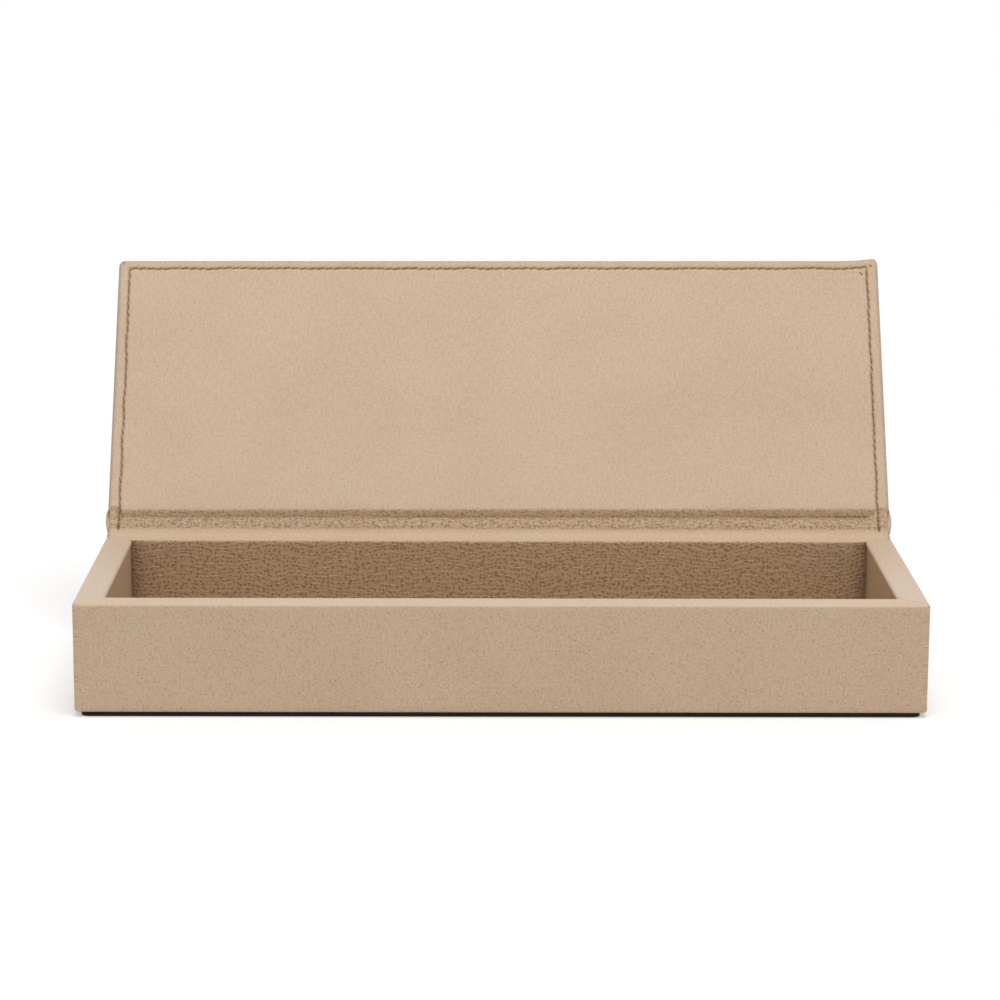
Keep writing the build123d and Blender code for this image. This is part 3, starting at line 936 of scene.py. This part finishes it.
def groove(off, to_hole, depth):
    """How far a seam has pulled the leather in: a groove, a deeper prick at each hole, and a low
    swell on both sides that is fuller between the holes."""
    trough = -depth * np.exp(-(off / 0.46) ** 2)
    prick = -0.28 * np.exp(-((off / 0.34) ** 2 + (to_hole / 0.4) ** 2))
    swell = 0.06 * np.exp(-((off - 1.2) / 0.6) ** 2) * (0.6 - 0.4 * np.cos(2 * pi * to_hole / pitch))
    return trough + prick + swell


def seam_shade(off, to_hole):
    """Painted shade beside the thread: a little in the groove, most in the holes."""
    return 0.14 * np.exp(-(off / 0.45) ** 2) + 0.72 * np.exp(-((off / 0.38) ** 2 + (to_hole / 0.42) ** 2))


lining_half = half_x - lining_inset
lining_front = lid_front + 0.05
lid_x = seam_stations(-lining_half, lining_half, (0.9, 0.9), first_hole_x, (seam_left, seam_right))
print("places across the lid", len(lid_x))

# %% Lining of the lid
foot_y = lid_rear - 0.25
foot_turn = 38.0
foot_slope = 1.5
foot_bend = 2.0
foot_tip = 0.9


def lid_lining_lines():
    """Face and back of the lining on the shut lid: back along the underside of the board from
    the free edge, and round its foot in a soft bend, a short slope and a second bend, tangent
    to each other."""
    flat_y = seam_stations(lining_front, foot_y, (0.7, 0.0), first_hole_y, (seam_y,))
    flat = np.stack([flat_y, np.full(len(flat_y), lining_low)], axis=1)
    bend = arc((foot_y, lining_low + foot_bend), foot_bend, -90.0, foot_turn - 90.0, 12)[1:]
    heading = np.array([cos(radians(foot_turn)), sin(radians(foot_turn))])
    slope = bend[-1] + np.linspace(0.0, foot_slope, 8)[1:, None] * heading
    middle = slope[-1] + foot_tip * np.array([-heading[1], heading[0]])
    tip = arc(middle, foot_tip, foot_turn - 90.0, 62.0, 9)[1:]
    face = np.concatenate([flat, bend, slope, tip])
    back = np.stack([
        np.minimum(face[:, 0], lid_rear - leather), np.clip(face[:, 1], fold_low, cover_low)
    ], axis=1)
    return face, back


lid_face, lid_back = lid_lining_lines()
lid_half = lining_half - (lining_half - core_x) * smooth(lid_face[:, 1], lining_low + 0.2, fold_low)
roll_run = foot_y - lining_front


def lid_lining_relief(x, run):
    """The seam, soft unevenness of the glued leather, and a slight wave of the foot's roll."""
    off, to_hole = from_seam(x, run + lining_front)
    wave = 0.12 * ripple(x, 0.0 * x, 25, 34.0, 9) * smooth(run, roll_run - 2.0, roll_run + 1.0)
    uneven = 0.022 * ripple(x, run, 21, 75.0) + 0.015 * ripple(x, run, 22, 14.0)
    return groove(off, to_hole, 0.26) + uneven + wave - 0.05


points, faces, edge_nearness, along, across, uv = sheet(
    lid_face, lid_back, -1, lid_x / lining_half, lid_half, (0.75, back_edge), (True, False),
    corner=1.6, relief=lid_lining_relief,
)
on_roll = smooth(along, roll_run - 0.3, roll_run + 1.3)
painted_seam_shade = seam_shade(*from_seam(across, along + lining_front))
corner_dark = 0.6 * np.exp(-(np.hypot(across + lining_half - 0.9, along - 0.7) / 0.9) ** 2)
# painted on the lid lining: shade on the rounded edges and a little towards the right, shade in the seam's groove
# and holes, and a dark spot at the left free corner; it is paler towards the foot
lid_fields = {
    "streaks": 1.0 - on_roll,
    "pits": 0.42 + 0.48 * on_roll,
    "rows": 0.75 * on_roll,
    "grey_shade_and_sheen": edge_nearness * 0.55,
    "deep": 0.025 + 0.05 * smooth(across, 20.0, 120.0),
    "wear_and_sheen": 0.2 * smooth(along, roll_run - 40.0, roll_run - 6.0) * (1.0 - on_roll),
    "pressed": np.maximum(painted_seam_shade, corner_dark),
}
make_piece("lid_lining_leather", opened(askew(points)), faces, "lid", ["lid_lining"], uv, lid_fields)

# %% [markdown]
# ## Outer leather of the lid
#
# Seen from behind, the lid is one smooth panel with a rounded edge, and its leather goes on round
# the edge and under the lining. It is a panel with a skirt: the border of the panel's grid goes
# on as rows that run down the edge and in under the board, and round the two free corners every
# point moves in along the corner's own radius.

# %% Panel and skirt
def skirt_rows(ring, corner, section, rear_limit):
    """Rows of points that carry a panel's border on, down and inwards. Each ring point has a
    centre, which is the point clamped to the rectangle of the corner centres; a row at distance
    n from the edge is moved towards that centre, and past it lies on the inset rectangle. Also
    the outward direction of each ring point."""
    centre_x = np.clip(ring[:, 0], -half_x + corner, half_x - corner)
    centre_y = np.maximum(ring[:, 1], lid_front + corner)
    out = np.stack([ring[:, 0] - centre_x, ring[:, 1] - centre_y], axis=1)
    out /= np.maximum(np.linalg.norm(out, axis=1, keepdims=True), 1e-9)
    n, z = section[:, 0][:, None], section[:, 1][:, None]
    x = centre_x[None, :] + out[None, :, 0] * (corner - n)
    y = centre_y[None, :] + out[None, :, 1] * (corner - n)
    far = n >= corner
    x = np.where(far, np.clip(centre_x[None, :], -half_x + n, half_x - n), x)
    y = np.where(far, np.maximum(centre_y[None, :], lid_front + n), y)
    y = np.minimum(y, np.where(n > leather + 0.01, rear_limit, lid_rear))
    return np.stack([x, y, np.broadcast_to(z, x.shape)], axis=-1), out


def panel(x, y, inset, corner, height, edge, relief):
    """A level panel with two rounded free corners; its border has fallen by the edge radius."""
    half, front = half_x - inset, lid_front + inset
    wide, deep = np.meshgrid(x * half / half_x, np.maximum(y, front))
    gap = np.minimum(half - np.abs(wide), deep - front)
    wide, deep = rounded(wide, deep, half, front, corner)
    return np.stack([wide, deep, height - fall(gap, edge) + relief(wide, deep)], axis=-1), gap


def cover_relief(x, y):
    """The seam and the soft unevenness of the outer leather."""
    off, to_hole = from_seam(x, y)
    uneven = 0.025 * ripple(x, y, 23, 70.0) + 0.015 * ripple(x, y, 24, 15.0)
    return groove(off, to_hole, 0.26) + uneven - 0.05


def flared(points):
    """The outer leather spreads a little at both ends of the foot, where it runs into the
    bulging hinge: x grows there on a smooth step along each direction."""
    moved = np.array(points, float)
    x, y, z = moved.T
    spread = smooth(y, 38.5, lid_rear) * smooth(z, fold_low, lid_top - 0.5)
    moved[:, 0] = x + 0.5 * np.sign(x) * spread * smooth(np.abs(x), 127.2, 129.8)
    return moved


cover_corner = 1.8
cover_edge = 0.8
cover_fold = 0.35
side_seams = (seam_left, seam_right)
cover_x = seam_stations(-half_x, half_x, (cover_edge, cover_edge), first_hole_x, side_seams)
cover_y = seam_stations(lid_front, lid_rear, (cover_edge, 0.0), first_hole_y, (seam_y,))
cover_top, cover_gap = panel(
    cover_x, cover_y, 0.0, cover_corner, lid_top, cover_edge, cover_relief
)
cover_under, _ = panel(
    cover_x, cover_y, leather, cover_corner - leather, cover_low, 0.0, lambda x, y: 0.0
)
print("panel", cover_top.shape[:2])

# %% Outer leather of the lid
number = numbered(*cover_top.shape[:2])
edge_numbers = np.concatenate([number[::-1, 0], number[0, 1:], number[1:, -1]])
side_down = straight((0.0, lid_top - cover_edge), (0.0, fold_low + cover_fold), 0.8, (False, True))
fold_round = arc((cover_fold, fold_low + cover_fold), cover_fold, 180.0, 270.0, 6)[1:]
fold_flat = straight((cover_fold, fold_low), (10.0, fold_low), 1.6, (False, True))
outer_section = np.concatenate([side_down, fold_round, fold_flat])
inner_section = np.stack([
    np.maximum(outer_section[:, 0], leather), np.clip(outer_section[:, 1], lid_board_low, cover_low)
], axis=1)
inner_section[len(side_down) - 1:, 1] = lid_board_low
ring = cover_top.reshape(-1, 3)[edge_numbers]
outer_skirt, outward = skirt_rows(ring, cover_corner, outer_section, lid_rear - leather)
inner_skirt, _ = skirt_rows(ring, cover_corner, inner_section, lid_rear - leather)
parts = (cover_top, outer_skirt, cover_under, inner_skirt)
points = np.concatenate([part.reshape(-1, 3) for part in parts])
skirt_run = cover_edge + lengths(outer_section)
skirt_uv = ring[None, :, :2] + outward[None, :, :] * skirt_run[:, None, None]
uv = np.concatenate([cover_top[..., :2].reshape(-1, 2), skirt_uv.reshape(-1, 2)])
below = numbered(*outer_skirt.shape[:2], number.size)
skirt = np.concatenate([edge_numbers[None, :], below])
one_side = np.concatenate([quads(number), quads(skirt)])
count = number.size + below.size
around = np.concatenate([skirt[:-1, 0], skirt[-1, :-1], skirt[:0:-1, -1], number[-1, :0:-1]])
faces = [one_side, one_side[:, ::-1] + count, band(around, around + count)]
painted_seam_shade = seam_shade(*from_seam(cover_top[..., 0], cover_top[..., 1]))
edge_nearness = 0.4 * (1.0 - smooth(cover_gap, 0.0, 1.8))
# painted shade on the rounded edge of the lid and in the seam's groove and holes
cover_fields = {
    "pits": 0.8,
    "streaks": 0.5,
    "deep": 0.04,
    "grey_shade_and_sheen": np.concatenate([edge_nearness.ravel(), np.full(below.size, 0.45)]),
    "pressed": np.concatenate([painted_seam_shade.ravel(), np.zeros(below.size)]),
}
make_piece(
    "lid_cover_leather", opened(askew(flared(points))), faces, "lid", ["lid_cover"],
    np.tile(uv, (2, 1)), cover_fields,
)

# %% [markdown]
# ## Hinge
#
# The hinge is the hardest part of the box: the two leathers, glued back to back, leave the rim
# upright, bend back in a long S and carry the lid. The glue line is two arcs of the same radius,
# found so that the first starts upright at the rim and the second ends with the lean of the lid.
# Each leather is its own sheet beside that line. Inside, the lining flows up from the rim in a
# hollow curve, and a furrow parts it from the rolled foot of the lid; towards both ends the side
# seams hold it flat against the lid, and the furrow runs out. Both sheets are made in the open
# pose and ride on neither the box nor the lid.

# %% Glue line of the hinge
end_y = axis_y + (lid_rear - axis_y) * cos(open_angle) + (cover_low - axis_z) * sin(open_angle)
end_z = axis_z - (lid_rear - axis_y) * sin(open_angle) + (cover_low - axis_z) * cos(open_angle)
ratio = (end_y - core_y) / (end_z - rim)
target = (1 + cos(lean) + ratio * sin(lean)) / (2 * sqrt(ratio * ratio + 1))
bend_turn = np.arctan(ratio) + np.arccos(target)
bend_radius = (end_z - rim) / (2 * sin(bend_turn) - sin(lean))
first_arc = bend_radius * bend_turn
glue_line = first_arc + bend_radius * (bend_turn - lean)


def strip_line(along, out):
    """Side view of the hinge at distances along the glue line and out from it to the back."""
    first = along / bend_radius
    near = bend_radius - out
    y1 = core_y + bend_radius - near * np.cos(first)
    z1 = rim + near * np.sin(first)
    second = bend_turn - (along - first_arc) / bend_radius
    far = bend_radius + out
    y2 = core_y + bend_radius - 2 * bend_radius * cos(bend_turn) + far * np.cos(second)
    z2 = rim + 2 * bend_radius * sin(bend_turn) - far * np.sin(second)
    use_first = along <= first_arc
    return np.stack([np.where(use_first, y1, y2), np.where(use_first, z1, z2)], axis=-1)


blend_share = 0.88
blend_ends = (
    (0.0, core_y / MM, rim / MM),
    (0.0, (core_y + blend_share * (end_y - core_y)) / MM, (rim + blend_share * (end_z - rim)) / MM),
)
print("bend radius", round(bend_radius, 2), "length of the hinge", round(glue_line, 2))

# %% Side view of the inner leather
cove_end = 2.2
tucked = np.array([0.35, 0.8, 1.3])
lid_up = np.array([sin(lean), cos(lean)])
lid_corner_point = opened(np.array([0.0, lid_rear, lining_low]))[1:]


def cove():
    """The hollow curve from the rim to the strip: a cubic whose ends are tangent to both."""
    high = strip_line(cove_end, -leather)
    ahead = strip_line(cove_end + 0.01, -leather) - high
    ahead /= np.linalg.norm(ahead)
    low = np.array([core_y - leather - 3.1, rim - 0.03])
    first = low + np.array([1.9, 0.0])
    second = high - ahead * 1.4
    t = np.linspace(0.0, 1.0, 18)[:, None]
    s = 1.0 - t
    return s ** 3 * low + 3 * s * s * t * first + 3 * s * t * t * second + t ** 3 * high


hollow = cove()
strip_runs = np.linspace(cove_end, glue_line, 40)[1:]
tuck = tucked[:, None] * lid_up
inner_face = np.concatenate([
    hollow, strip_line(strip_runs, -leather), strip_line(glue_line, -leather) + tuck
])
under_y = np.linspace(hollow[0, 0], core_y, 9)
inner_back = np.concatenate([
    np.stack([under_y, np.full(9, rim - 0.05)], axis=1),
    strip_line(np.linspace(0.0, cove_end, 10)[1:], 0.0),
    strip_line(strip_runs, 0.0), strip_line(glue_line, 0.0) + tuck,
])
inner_back[0] = inner_face[0] - [0.0, 0.01]
inner_run, inner_normal = line_frame(inner_face, 1)
to_strip = inner_run[len(hollow) - 1] - inner_run[:len(hollow)]
inner_up = np.concatenate([cove_end - to_strip, strip_runs, glue_line + tucked])

# the straight line from the top of the hollow curve to the lid's edge, and the lift up to it
chord = lid_corner_point - hollow[-1]
chord_normal = np.array([-chord[1], chord[0]]) / np.linalg.norm(chord)
reach_chord = (lid_corner_point - inner_face) @ chord_normal / (inner_normal @ chord_normal)
lift = np.where(inner_up > cove_end, np.maximum(reach_chord, 0.0), 0.0)
lift[-3:] = 2 * leather - np.array([0.08, 0.14, 0.2])
seam_path = inner_face + inner_normal * lift[:, None]
seam_length = lengths(seam_path)
seam_down = seam_length[-4] - seam_length
seam_end = first_hole_y + 30 * pitch - lid_rear
print("seam over the hinge", round(seam_length[-4], 2), "mm")

# %% Inner leather of the hinge
hinge_half = half_x - 0.8
hinge_x = seam_stations(-hinge_half, hinge_half, (0.5, 0.5), first_hole_x, side_seams)


def flattened(x):
    """Share by which the side seams hold the hinge flat against the lid."""
    return np.maximum(1.0 - smooth(x, -126.6, -125.0), smooth(x, 122.0, 126.0))


def hinge_relief(x, run):
    """Lift to the flat line at both ends, the seam with its pricks there, and fine wrinkles along
    the hinge in between."""
    up = np.interp(run, inner_run, inner_up)
    down = np.interp(run, inner_run, seam_down)
    held = flattened(x)
    seam = groove(off_side_seam(x), hole_distance(down + seam_end), 0.30)
    seam = seam * smooth(up, 0.6, 1.8) * (down > -0.6)
    fade = smooth(up, 1.2, 3.0) * (1.0 - smooth(up, glue_line - 1.4, glue_line)) * (1.0 - 0.8 * held)
    furrow = -0.3 * smooth(up, 5.4, 6.8) * (1.0 - held)
    creases = 0.035 * ripple(x * 0.07, up, 31, 1.9) + 0.045 * ripple(x * 0.12, up, 32, 3.4)
    waves = 0.08 * ripple(x, up * 0.4, 33, 24.0)
    return held * np.interp(run, inner_run, lift) + seam + furrow + fade * (creases + waves)


points, faces, edge_nearness, along, across, uv = sheet(
    inner_face, inner_back, 1, hinge_x / hinge_half, hinge_half, (0.45, 0.2), (False, False),
    relief=hinge_relief,
)
up = np.interp(along, inner_run, inner_up)
to_hole = hole_distance(np.interp(along, inner_run, seam_down) + seam_end)
on_strip = smooth(up, 1.6, 2.5) * (1.0 - 0.3 * flattened(across))
# deep is painted shade, darker up the strip towards the furrow under the lid's foot; the grey tint is painted
# shade on the rounded ends, and pressed paints shade in the seams' grooves and holes
hinge_fields = {
    "rows": on_strip,
    "pits": 0.9 * smooth(up, 1.3, 2.3),
    "deep": 0.09 + on_strip * (0.34 + 0.12 * smooth(up, 1.8, 3.6) + 0.20 * smooth(up, 4.2, 6.0)),
    "pressed": seam_shade(off_side_seam(across), to_hole) * smooth(up, 0.6, 1.8),
    "streaks": 0.3,
    "grey_shade_and_sheen": edge_nearness * 0.5,
}
make_piece("hinge_inner_leather", points, faces, blend_ends, ["hinge_lining"], uv, hinge_fields)

# %% Outer leather of the hinge
outer_runs = np.linspace(0.0, glue_line, 44)
outer_face = strip_line(outer_runs, leather)
outer_length = lengths(outer_face)
outer_hole = 1.99
bulge_by = (-0.30, -0.10, 0.15, 0.36, 0.52, 0.64, 0.74, 0.82, 0.86, 0.75, 0.50)
bulge = half_x + np.interp(outer_runs / glue_line, np.linspace(0.0, 1.0, 11), bulge_by)


def outer_relief(x, run):
    """Groove and pricks of the side seams, and soft wrinkles along the hinge."""
    up = np.interp(run, outer_length, outer_runs)
    seam = groove(off_side_seam(x), hole_distance(up - outer_hole), 0.34) * smooth(up, 1.2, 2.2)
    fade = smooth(up, 0.6, 2.4) * (1.0 - smooth(up, glue_line - 1.6, glue_line))
    wrinkles = 0.04 * ripple(x * 0.07, up, 34, 2.4) + 0.06 * ripple(x, up * 0.4, 35, 26.0)
    return seam + fade * wrinkles


points, faces, edge_nearness, _, across, uv = sheet(
    outer_face, strip_line(outer_runs, 0.0), -1, cover_x / half_x, bulge, (0.6, 0.3), (False, False),
    relief=outer_relief,
)
# the grey tint is painted shade on the rounded ends, and pressed paints shade along the side seams
outer_fields = {
    "pits": 1.0,
    "rows": 0.3,
    "grey_shade_and_sheen": edge_nearness * 0.55,
    "pressed": 0.5 * np.exp(-(off_side_seam(across) / 0.6) ** 2),
}
make_piece("hinge_outer_leather", points, faces, blend_ends, ["hinge_cover"], uv, outer_fields)

# %% [markdown]
# ## Stitches
#
# A saddle stitch shows the same on both sides: short slanting lengths of thread, each diving into
# the hole it shares with its neighbour. A curve with a round bevel could be copied along the
# seam; here one tube is computed for every stitch at once, from its place on the seam and the
# directions along, across and out of the leather there. The thread was fastened off with back
# stitches at one corner and at both ends, so there are a few extra lengths.

# %% Tubes of thread
def stitch_tubes(middle, ahead, aside, outward, half_length, radius, slant, dive, lift, seed):
    """Tubes for many stitches. The line of each goes along the seam, slants to the side and dives
    at both ends as the fourth power of the way from the middle; the tube is thinner at its ends.
    Every stitch differs a little in slant, length and height."""
    random = np.random.default_rng(seed)
    count = len(middle)
    t = np.linspace(-1.0, 1.0, 9)[None, :, None]
    turn = np.linspace(0.0, 2 * pi, 7)[None, None, :]
    own_length = (half_length * (1.0 + random.uniform(-0.09, 0.09, count)))[:, None, None]
    own_slant = (slant + random.uniform(-0.12, 0.12, count))[:, None, None]
    own_lift = (lift + random.uniform(-0.05, 0.05, count))[:, None, None]
    own_shift = random.uniform(-0.08, 0.08, count)[:, None, None]
    thick = radius * (1.0 - 0.45 * t ** 6)
    along = own_length * t + 0.0 * turn
    side = own_slant * own_length * t + own_shift + thick * np.cos(turn)
    height = own_lift - dive * t ** 4 + thick * np.sin(turn)
    points = middle[:, None, None, :]
    for reach, direction in ((along, ahead), (side, aside), (height, outward)):
        points = points + reach[..., None] * direction[:, None, None, :]
    uv = np.stack([along / 2.4, turn / (2 * pi) + 0.0 * along], axis=-1)
    ring = numbered(9, 7)
    faces = quads(ring)[None] + ring.size * np.arange(count)[:, None, None]
    return points.reshape(-1, 3), faces.reshape(-1, 4), uv.reshape(-1, 2)


def lid_seam(height, outward):
    """Middles and directions of the stitches on one face of the shut lid."""
    edge = first_hole_x + pitch * (np.arange(87) + 0.5)
    side = first_hole_y + pitch * (np.arange(30) + 0.5)
    rows = [(edge, seam_y + wander(edge, 53), (1.0, 0.0, 0.0), (0.0, 1.0, 0.0))]
    for x, seed in ((seam_left, 51), (seam_right, 52)):
        rows.append((x + wander(side, seed), side, (0.0, 1.0, 0.0), (-1.0, 0.0, 0.0)))
    middle = np.concatenate([np.stack([x, y, 0.0 * x + height], axis=1) for x, y, _, _ in rows])
    ahead, aside = [
        np.concatenate([np.tile(row[place], (len(row[0]), 1)) for row in rows]) for place in (2, 3)
    ]
    return middle, ahead, aside, np.tile([0.0, 0.0, outward], (len(middle), 1))


def back_stitches(height, outward):
    """Two single back stitches where the thread was fastened off at the right free corner."""
    middle = np.array([
        [seam_right - 1.9, seam_y + 2.2, height], [seam_right + 1.4, seam_y - 0.4, height]
    ])
    directions = ([0.55, 0.835, 0.0], [-0.835, 0.55, 0.0], [0.0, 0.0, outward])
    return middle, *[np.tile(direction, (2, 1)) for direction in directions]


def joined(*groups):
    """Several groups of points, faces and UVs as one."""
    points, faces, uv = zip(*groups)
    first = np.cumsum([0] + [len(part) for part in points])
    faces = [part + start for part, start in zip(faces, first)]
    return np.concatenate(points), [np.concatenate(faces)], np.concatenate(uv)


for name, height, outward, thread_node, seed in (
    ("lid_inner_stitching", lining_low, -1.0, "lid_inner_thread", 41),
    ("lid_outer_stitching", lid_top, 1.0, "lid_outer_thread", 42),
):
    seam = stitch_tubes(*lid_seam(height, outward), 1.20, 0.19, 0.24 * outward, 0.42, -0.07, seed)
    extra = stitch_tubes(*back_stitches(height, outward), 0.72, 0.25, 0.0, 0.40, 0.02, seed + 10)
    points, faces, uv = joined(seam, extra)
    make_piece(name, opened(askew(points)), faces, "lid", [thread_node], uv, sharp=180.0)

# %% Stitches of the hinge
hinge_steps = pitch * (np.arange(3) + 0.5)


def along_path(path, run, wanted):
    """Points of a side view at lengths along it, with the directions ahead and to its left."""
    point, near, far = [
        np.stack([np.interp(wanted + shift, run, path[:, place]) for place in (0, 1)], axis=1)
        for shift in (0.0, 0.4, -0.4)
    ]
    ahead = (near - far) / np.linalg.norm(near - far, axis=1, keepdims=True)
    return point, ahead, np.stack([-ahead[:, 1], ahead[:, 0]], axis=1)


def both_seams(point, ahead, outward):
    """The stitches of one side view, on the left and on the right seam."""
    none = np.zeros(len(point))
    middle = [np.column_stack([none + x, point]) for x in side_seams]
    ahead, outward = [np.tile(np.column_stack([none, way]), (2, 1)) for way in (ahead, outward)]
    return np.concatenate(middle), ahead, np.tile([1.0, 0.0, 0.0], (len(ahead), 1)), outward


last_hole = seam_length[-4] - seam_end
inner_places = along_path(seam_path, seam_length, last_hole - hinge_steps)
inner_stitches = stitch_tubes(*both_seams(*inner_places), 1.33, 0.32, -0.10, 0.42, -0.06, 43)
outer_wanted = np.interp(outer_hole + hinge_steps, outer_runs, outer_length)
point, ahead, outward = along_path(outer_face, outer_length, outer_wanted)
outer_stitches = stitch_tubes(*both_seams(point, ahead, -outward), 1.33, 0.28, 0.12, 0.42, -0.12, 44)
knot_place = along_path(seam_path, seam_length, last_hole - np.array([7.3]))
middle, ahead, aside, outward = both_seams(*knot_place)
knots = stitch_tubes(middle, aside, ahead, outward, 0.62, 0.22, 0.1, 0.25, 0.05, 45)
points, faces, uv = joined(inner_stitches, outer_stitches, knots)
make_piece("hinge_stitching", points, faces, blend_ends, ["hinge_thread"], uv, sharp=180.0)

# %% [markdown]
# ## Base pad
#
# Under the box lies a sheet of dark suede, set in a little from the leather, which shows as a
# dark line along the table. It is the same kind of sheet, with rounded corners.

# %% Base pad
pad_out = 1.2
pad_x, pad_y, pad_top = pad_high[0], pad_high[1] + pad_out, pad_high[2]
pad_face = straight((-pad_y, pad_top), (pad_y, pad_top), 2.0)
points, faces, _, _, _, uv = sheet(
    pad_face, pad_face - [0.0, pad_top], 1, widths(pad_x, 2.0, 0.3), pad_x, (0.1, 0.15), corner=2.5
)
make_piece("base_pad_suede", points, faces, "box", ["base_pad"], uv)

# %% [markdown]
# ## Floor, lamps and background
#
# A plain pale table and soft light: one large lamp overhead and a bright, even surrounding. The
# world and the floor are white to the camera, as in a product photograph, and the floor keeps the
# soft shadow under the box.

# %% Floor
def seen_by_camera(tree):
    """1 for rays that come from the camera, straight, reflected or through glass, and 0 for the
    others, which carry the light."""
    rays = node(tree, "ShaderNodeLightPath").outputs
    seen = maths(tree, "MAXIMUM", rays["Is Camera Ray"], rays["Is Glossy Ray"])
    return maths(tree, "MAXIMUM", seen, rays["Is Transmission Ray"])


floor_material, tree, shader = new_material("pale_floor")
shader.inputs["Base Color"].default_value = (0.80, 0.80, 0.80, 1.0)
shader.inputs["Roughness"].default_value = 0.9
shader.inputs["Specular IOR Level"].default_value = 0.1
place = node(tree, "ShaderNodeTexCoord").outputs["Object"]
length = node(tree, "ShaderNodeVectorMath", ((0, place),), operation="LENGTH").outputs["Value"]
far_away = step(tree, length, 0.22, 0.45)
white = node(tree, "ShaderNodeEmission", (("Strength", 1.0),)).outputs[0]
lift = node(tree, "ShaderNodeEmission", (("Strength", 0.30),)).outputs[0]
near = node(tree, "ShaderNodeAddShader", ((0, shader.outputs[0]), (1, lift))).outputs[0]
shown = node(tree, "ShaderNodeMixShader", ((0, far_away), (1, near), (2, white))).outputs[0]
inputs = ((0, seen_by_camera(tree)), (1, shader.outputs[0]), (2, shown))
mixed = node(tree, "ShaderNodeMixShader", inputs).outputs[0]
output = [made for made in tree.nodes if made.type == "OUTPUT_MATERIAL"][0]
tree.links.new(mixed, output.inputs[0])
reach = 4.0
floor_mesh = bpy.data.meshes.new("table")
corners = [(-reach, -reach, 0), (reach, -reach, 0), (reach, reach, 0), (-reach, reach, 0)]
floor_mesh.from_pydata(corners, [], [(0, 1, 2, 3)])
floor_mesh.materials.append(floor_material)
table = bpy.data.objects.new("table", floor_mesh)
bpy.context.scene.collection.objects.link(table)
print("floor", 2 * reach, "m square")

# %% World and lamps
world = bpy.data.worlds.new("studio")
bpy.context.scene.world = world
world.use_nodes = True
tree = world.node_tree
tree.nodes.clear()
white = (1.0, 1.0, 1.0, 1.0)
surround, backdrop = [
    node(tree, "ShaderNodeBackground", (("Color", white), ("Strength", strength))).outputs[0]
    for strength in (0.60, 1.0)
]
inputs = ((0, seen_by_camera(tree)), (1, surround), (2, backdrop))
node(tree, "ShaderNodeOutputWorld", ((0, node(tree, "ShaderNodeMixShader", inputs).outputs[0]),))


def lamp(name, place, aim, size, power):
    """A square soft lamp that points from its place to its aim, in metres and watts."""
    data = bpy.data.lights.new(name, "AREA")
    data.shape = "SQUARE"
    data.size = size
    data.energy = power
    light = bpy.data.objects.new(name, data)
    bpy.context.scene.collection.objects.link(light)
    light.location = place
    light.rotation_mode = "QUATERNION"
    light.rotation_quaternion = (Vector(aim) - Vector(place)).to_track_quat("-Z", "Y")


lamp("overhead", (0.12, -0.38, 1.5), (0.0, 0.0, 0.05), 0.9, 10.0)
bpy.context.scene.view_settings.view_transform = "Standard"
